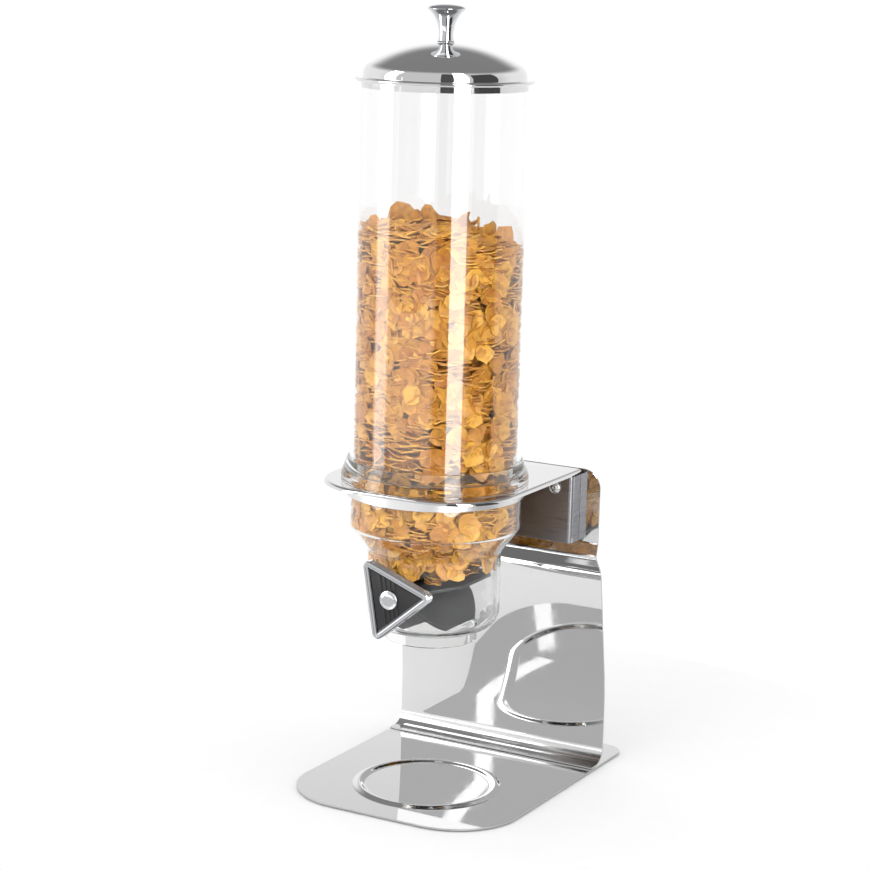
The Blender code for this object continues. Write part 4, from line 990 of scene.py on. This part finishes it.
def between_ridges(vertex):
    """Whether a point of the knob's sides lies in the hollow between two ridges of the knurl."""
    if not TINY < vertex.co.z < side_height - TINY:
        return False
    spot = (vertex.co + frame_piece.location).xy
    for side in range(3):
        outwards = Vector((1, 0))
        outwards.rotate(Matrix.Rotation(math.pi / 3 + side * 2 * math.pi / 3, 2))
        along = spot.dot(outwards.orthogonal())
        if spot.dot(outwards) > KNOB_REACH * 0.5 and abs(along) < run / 2 - TINY:
            return round((along + run / 2) / (run / ridges)) % 2 == 1
    return False

pick("VERT", between_ridges)
bpy.ops.transform.shrink_fatten(value=-KNURL_DEPTH)
frame_piece.matrix_basis = knob_turn @ Matrix.Translation(frame_piece.location)
screw_middle = middle_of("knob_set_screw")
to_side = screw_middle - wheel_centre
to_side.y = 0
cut_with(
    frame_piece,
    "DIFFERENCE",
    "set_screw_hole",
    vertices=32,
    radius=SET_SCREW_HOLE,
    depth=KNOB_REACH - SET_SCREW_HOLE_FLOOR,
    location=screw_middle + to_side * SET_SCREW_HOLE_OUT_SHARE,
    rotation=(0, math.pi / 2 - math.atan2(to_side.z, to_side.x), 0),
)
settle(frame_piece, [chrome], "wheel", "knob_frame", smooth=35)

# Knob inlay
# A dark moulded plate glued into the knob's recess, with plain straight ribs across it.
RIBS = 4
RIB_WIDTH = 0.0012
RIB_PITCH = 0.0042
RIB_HEIGHT = 0.0007
RIB_EDGE = 0.0002
low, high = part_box("knob_inlay")
plate_back = wheel_centre.y - high.y
plate_thickness = high.y - low.y - RIB_HEIGHT
inlay_inset = KNOB_RIM + 3 * KNOB_LINE + KNOB_BEAD + KNOB_SLOPE + FIT_GAP
inlay = traced("ribbed_inlay", triangle(inlay_inset, plate_back))
close_seams()
bpy.ops.mesh.edge_face_add()
extrude(0, 0, plate_thickness)
for rib in range(RIBS):
    for side in (-1, 1):
        place = RIB_PITCH * (rib - (RIBS - 1) / 2) + side * RIB_WIDTH / 2
        slice_at((place, 0, 0), (1, 0, 0))

def on_rib(face):
    """Whether a face of the plate's top is one of the strips that a rib stands on."""
    middle = face.calc_center_median() + inlay.location
    count = middle.x / RIB_PITCH + (RIBS - 1) / 2
    inner = -0.5 < count < RIBS - 0.5 and abs(count - round(count)) * RIB_PITCH < RIB_WIDTH / 2
    return inner and face.calc_center_median().z > plate_thickness - TINY

pick("FACE", on_rib)
extrude(0, 0, RIB_HEIGHT)
face_outwards()
soften(inlay, "soft_edge", RIB_EDGE, 2, 50)
inlay.matrix_basis = knob_turn @ Matrix.Translation(inlay.location)
settle(inlay, [nylon], "wheel", "knob_inlay")

# Knob stud
# A plain round stud, turned and chromed, riveted through the middle of the inlay.
STUD_GROOVE = 0.0004
STUD_GROOVE_ANGLE = 0.95
STUD_GROOVE_SPREAD = 0.09
STUD_STEPS = 24
low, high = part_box("knob_stud")
stud_radius = (high.x - low.x) / 2
stud_back, stud_height = wheel_centre.y - high.y, high.y - low.y
profile = [(0, stud_back), (stud_radius, stud_back)]
for step in range(STUD_STEPS + 1):
    angle = math.pi / 2 * (1 - step / STUD_STEPS)
    dip = STUD_GROOVE * math.exp(-(((angle - STUD_GROOVE_ANGLE) / STUD_GROOVE_SPREAD) ** 2))
    lift = stud_back + stud_height / 2 * (1 + math.cos(angle)) - dip
    profile.append((stud_radius * math.sin(angle), lift))
stud = turned("round_stud", profile, wheel_centre, KNOB_ROUND, (0, -1, 0))
settle(stud, [chrome], "wheel", "knob_stud", smooth=40)

# Cornflakes
# The cereal that the dispenser holds: maize grits, rolled thin and toasted, which curls and
# blisters them. They lie flat on each other or lean against the clear wall.
FLAKE_SHAPES = 9
FLAKE_CORNERS = 12
FLAKE_THICKNESS = 0.0011
FLAKE_RADII = (0.0072, 0.0128)
FLAKE_RIM_SHARE = 0.42
LOBES, CURLS, TWISTS, CUPS, DENTS = (0, 0.16), (0.05, 0.32), (-0.2, 0.2), (-0.1, 0.2), (-0.04, 0.04)
DRIFT_SIZE = 0.022
WALL_LEAN, TOP_LEAN, STANDING_LEAN = 18, 20, 25
SWEEP_MARGIN = 0.0005
WALL_FLAKES_LEFT_OUT = 0.55
FILL_LINE_SHARES = [
    (-1, 0.965), (-0.83, 0.988), (-0.56, 1.0), (0, 1.0),
    (0.39, 0.967), (0.58, 0.946), (0.79, 0.933), (1, 0.9),
]
LEAST_FILL_SHARE = 0.88
FILL_HEIGHT = 0.2025
# Each layer's depth behind the wall, its gap from flake to flake and its rise from row to row
LAYERS = ((0.002, 0.0085, 0.0048), (0.010, 0.010, 0.0075))
FIRST_ROW = 0.004
BANDS = 4
STAGGER = 0.004
TOP_FLAKES = 420
TOP_RADIUS = 0.064
TOP_DEPTHS = (0.002, 0.012)
STANDING_FLAKES = 8
STANDING_RADIUS = 0.058
STANDING_HEIGHT = 0.001
LOWER_TRIES = 5200
LOWER_SPREAD = 0.004
LOWER_TOP = 0.003
FUNNEL_FLAKES = 1300
POCKET_FLAKES = 330
CORE_FLAKES = 26
CORE_RADIUS = 0.050
CORE_START = 0.006
CORE_STOP = 0.012
CORE_ROW = 0.0095
CORE_COVER = 0.006
UP = Vector((0, 0, 1))
dice = random.Random(41)
view_right = Vector((math.cos(AZIMUTH), math.sin(AZIMUTH), 0))
room_profile = [(tube_high.z, tube_bore), (tube_low.z, tube_bore)]
room_profile += [(point.y + flange_under, point.x) for point in reversed(inside)]

def toasted_maize():
    """Toasted maize: golden, each flake toasted a little differently, with darker blotches 5 mm
    across, a fine blistered relief 1.5 mm across and a thin dull glaze of sugar."""
    glaze = {"Roughness": 0.5, "Specular IOR Level": 0.4}
    made, tree, shader, place = patterned(
        "toasted_cornflake", glaze, 1.5, 2, relief=(0.7, 0.0004)
    )
    toast = node(tree, "NewGeometry").outputs["Random Per Island"]
    golden = node(
        tree, "Mix", {6: linear("DFA73A"), 7: linear("B36F13")}, {0: toast}, data_type="RGBA"
    )
    blotch = node(tree, "TexNoise", {"Scale": per_mm(5), "Detail": 3}, {"Vector": place})
    spots = node(tree, "MapRange", {1: 0.48, 2: 0.78, 4: 0.75}, {0: blotch})
    tint = node(tree, "Mix", {7: linear("7E4410")}, {0: spots, 6: golden}, data_type="RGBA")
    link(tree, tint, shader, "Base Color")
    return made

def roll_flake(number):
    """One flake of unit radius: a round blank with a ragged rim, curled, twisted and dented."""
    flake = start(
        f"flake_blank_{number}",
        bpy.ops.mesh.primitive_circle_add,
        vertices=FLAKE_CORNERS,
        radius=1,
        fill_type="NGON",
    )
    bpy.ops.mesh.inset(thickness=FLAKE_RIM_SHARE)
    bpy.ops.mesh.poke()
    lobes = [(order, dice.uniform(*LOBES), dice.uniform(0, 2 * math.pi)) for order in (2, 3, 5)]
    curl, twist, cup = dice.uniform(*CURLS), dice.uniform(*TWISTS), dice.uniform(*CUPS)
    form = bmesh.from_edit_mesh(flake.data)
    for vertex in form.verts:
        angle = math.atan2(vertex.co.y, vertex.co.x)
        stretch = 1 + sum(size * math.cos(order * angle + phase) for order, size, phase in lobes)
        vertex.co *= stretch
        x, y = vertex.co.x, vertex.co.y
        dent = dice.uniform(*DENTS)
        vertex.co.z = curl * x * x + twist * x * y + cup * y * y - curl / 4 + dent
    bmesh.update_edit_mesh(flake.data)
    alone(flake)
    modify(flake, "wall", "SOLIDIFY", thickness=2 * FLAKE_THICKNESS / sum(FLAKE_RADII), offset=0)
    bpy.ops.object.modifier_apply(modifier="wall")
    bpy.ops.object.shade_smooth_by_angle(angle=math.radians(50))
    return flake

def spot_at(angle, reach, z):
    """A place at this bearing and distance from the tube's axis, and at this height."""
    return Vector((reach * math.cos(angle), reach * math.sin(angle), z))

def room_at(z):
    """The radius inside the tube and the hopper at this height."""
    for (upper, wide), (lower, narrow) in zip(room_profile, room_profile[1:]):
        if lower <= z <= upper and upper > lower:
            return narrow + (wide - narrow) * (z - lower) / (upper - lower)
    return room_profile[0][1]

def fill_line(x, y):
    """How high the cereal stands at this place: level on the left, lower on the right."""
    across = Vector((x, y, 0)).dot(view_right) / tube_bore
    for (left, low_share), (right, high_share) in zip(FILL_LINE_SHARES, FILL_LINE_SHARES[1:]):
        if across <= right:
            share = low_share + (high_share - low_share) * (across - left) / (right - left)
            return tube_low.z + FILL_HEIGHT * max(share, LEAST_FILL_SHARE)
    return tube_low.z + FILL_HEIGHT * FILL_LINE_SHARES[-1][1]

def lay(blank, normal, middle):
    """The place of one flake whose flat side faces this way, pushed back inside the wall."""
    size = dice.uniform(*FLAKE_RADII)
    spin = Matrix.Rotation(dice.uniform(0, 2 * math.pi), 3, "Z")
    turn = normal.to_track_quat("Z", "Y").to_matrix() @ spin
    turn = turn @ Matrix.Diagonal((size, size * dice.uniform(0.75, 1), size))
    corners = [turn @ corner for corner in outlines[blank]]
    for _ in range(3):
        out = 0
        for corner in corners:
            reach = math.hypot(middle.x + corner.x, middle.y + corner.y)
            out = max(out, reach - room_at(AXIS.z + middle.z + corner.z) + FIT_GAP)
        if out > 0:
            radial = Vector((middle.x, middle.y, 0))
            middle = middle - radial.normalized() * min(out, radial.length)
    place = Matrix.Translation(AXIS + middle) @ turn.to_4x4()
    return place, [AXIS + middle + corner for corner in corners]

def heap(name, body, spots):
    """Copies the flakes to their places, joins them and seats them on a body."""
    copies = []
    for number, place in spots:
        copy = blanks[number].copy()
        copy.matrix_basis = place
        bpy.context.collection.objects.link(copy)
        copies.append(copy)
    made = copies[0]
    made.data = made.data.copy()
    alone(made)
    for copy in copies[1:]:
        copy.select_set(True)
    bpy.ops.object.join()
    made.name = made.data.name = name
    bpy.ops.object.transform_apply(location=True, rotation=True, scale=True)
    made.data.materials.append(maize)
    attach(made, body)

def tilted(direction, most):
    """A direction leaned over by up to this many degrees, any way round."""
    side = direction.orthogonal().normalized()
    side.rotate(Matrix.Rotation(dice.uniform(0, 2 * math.pi), 3, direction))
    leaned = direction.copy()
    leaned.rotate(Matrix.Rotation(math.radians(dice.uniform(0, most)), 3, side))
    return leaned

def resting_side(angle, z):
    """Which way a flake at the wall faces: most lie flat in drifts, others lean on the wall."""
    drift = noise.noise(Vector((math.cos(angle) * 3, math.sin(angle) * 3, z / DRIFT_SIZE)))
    if drift + dice.uniform(-0.35, 0.35) > 0.12:
        return tilted(UP, WALL_LEAN)
    return tilted(spot_at(angle, 1, 0), WALL_LEAN)

maize = toasted_maize()
blanks = [roll_flake(number) for number in range(FLAKE_SHAPES)]
outlines = [[vertex.co.copy() for vertex in blank.data.vertices] for blank in blanks]
bands = [[] for _ in range(BANDS)]
for depth, gap, row in LAYERS:
    z = tube_low.z + FIRST_ROW
    while z < tube_low.z + FILL_HEIGHT:
        radius = room_at(z) - depth
        count = round(2 * math.pi * radius / gap)
        for index in range(count):
            angle = 2 * math.pi * (index + dice.uniform(-0.5, 0.5)) / count
            middle = spot_at(angle, radius - dice.uniform(0, STAGGER), z)
            middle.z += dice.uniform(-0.5, 0.5) * row
            side = resting_side(angle, z)
            if abs(side.z) < 0.5 and dice.random() < WALL_FLAKES_LEFT_OUT:
                continue
            blank = dice.randrange(FLAKE_SHAPES)
            place, corners = lay(blank, side, middle)
            heights = [corner.z for corner in corners]
            if max(heights) < fill_line(middle.x, middle.y) and min(heights) > tube_low.z:
                share = (z - tube_low.z) / FILL_HEIGHT
                bands[min(int(share * BANDS), BANDS - 1)].append((blank, place))
        z += row
for number, band in enumerate(bands, start=1):
    heap(f"cornflakes_band_{number}", "tube", band)

top_spots = []
for _ in range(TOP_FLAKES):
    angle, reach = dice.uniform(0, 2 * math.pi), TOP_RADIUS * math.sqrt(dice.random())
    middle = spot_at(angle, reach, 0)
    middle.z = fill_line(middle.x, middle.y) - dice.uniform(*TOP_DEPTHS)
    blank = dice.randrange(FLAKE_SHAPES)
    top_spots.append((blank, lay(blank, tilted(UP, TOP_LEAN), middle)[0]))
for _ in range(STANDING_FLAKES):
    angle, reach = dice.uniform(0, 2 * math.pi), STANDING_RADIUS * math.sqrt(dice.random())
    middle = spot_at(angle, reach, 0)
    middle.z = fill_line(middle.x, middle.y) + STANDING_HEIGHT
    blank = dice.randrange(FLAKE_SHAPES)
    side = spot_at(angle * 5, 1, 0.15).normalized()
    top_spots.append((blank, lay(blank, tilted(side, STANDING_LEAN), middle)[0]))
heap("cornflakes_top", "tube", top_spots)

def in_sweep(spot, margin):
    """Whether a place lies where the paddle wheel turns, or within a margin of it."""
    reach = math.hypot(spot.x - wheel_centre.x, spot.z - wheel_centre.z)
    rounded = math.hypot(reach, spot.y - wheel_centre.y) < SWEEP_RADIUS + margin
    return reach < VANE_REACH + margin and rounded

def over_vane(spot, turn):
    """How high a place is over the plane of the vane at this turn."""
    return (spot.z - wheel_centre.z) * math.cos(turn) - (spot.x - wheel_centre.x) * math.sin(turn)

def clear_of_wheel(corners):
    """Whether a flake in a pocket cuts neither the hub nor one of the upper vanes."""
    for turn in [WHEEL_TURN + index * math.pi / 3 for index in range(3)]:
        sides = set()
        for spot in corners:
            x, z = spot.x - wheel_centre.x, spot.z - wheel_centre.z
            if x * math.cos(turn) + z * math.sin(turn) > 0:
                height = over_vane(spot, turn)
                if abs(height) < VANE_THICKNESS / 2 + FIT_GAP:
                    return False
                sides.add(height > 0)
        if len(sides) > 1:
            return False
    return all(math.hypot(s.x - wheel_centre.x, s.z - wheel_centre.z) > HUB_RADIUS for s in corners)

funnel_spots, pocket_spots = [], []
for _ in range(LOWER_TRIES):
    angle = dice.uniform(0, 2 * math.pi)
    z = dice.uniform(wheel_centre.z - LOWER_SPREAD, tube_low.z + LOWER_SPREAD)
    reach = room_at(z) * dice.random() ** (0.35 if z > wheel_centre.z + SWEEP_RADIUS else 0.5)
    middle = spot_at(angle, reach, z)
    blank = dice.randrange(FLAKE_SHAPES)
    place, corners = lay(blank, resting_side(angle, z), middle)
    if max(corner.z for corner in corners) > tube_low.z + LOWER_TOP:
        continue
    # The vane at the wheel's turn and the one across from it hold the cereal up.
    if min(over_vane(corner, WHEEL_TURN) for corner in corners) < VANE_THICKNESS / 2 + SWEEP_MARGIN:
        continue
    if not any(in_sweep(corner, SWEEP_MARGIN) for corner in corners):
        funnel_spots.append((blank, place))
    elif all(in_sweep(corner, 0) for corner in corners) and clear_of_wheel(corners):
        pocket_spots.append((blank, place))
heap("cornflakes_funnel", "hopper", funnel_spots[:FUNNEL_FLAKES])
heap("cornflakes_pockets", "wheel", pocket_spots[:POCKET_FLAKES])

core_spots = []
z = tube_low.z + CORE_START
while z < tube_low.z + FILL_HEIGHT - CORE_STOP:
    for index in range(CORE_FLAKES):
        angle = 2 * math.pi * (index + dice.uniform(-0.5, 0.5)) / CORE_FLAKES
        middle = spot_at(angle, CORE_RADIUS - dice.uniform(0, STAGGER), z)
        blank = dice.randrange(FLAKE_SHAPES)
        place, corners = lay(blank, tilted(spot_at(angle, 1, 0.3), STANDING_LEAN), middle)
        if max(corner.z for corner in corners) < fill_line(middle.x, middle.y) - CORE_COVER:
            core_spots.append((blank, place))
    z += CORE_ROW
heap("cornflakes_core", "tube", core_spots)
for blank in blanks:
    bpy.data.objects.remove(blank)
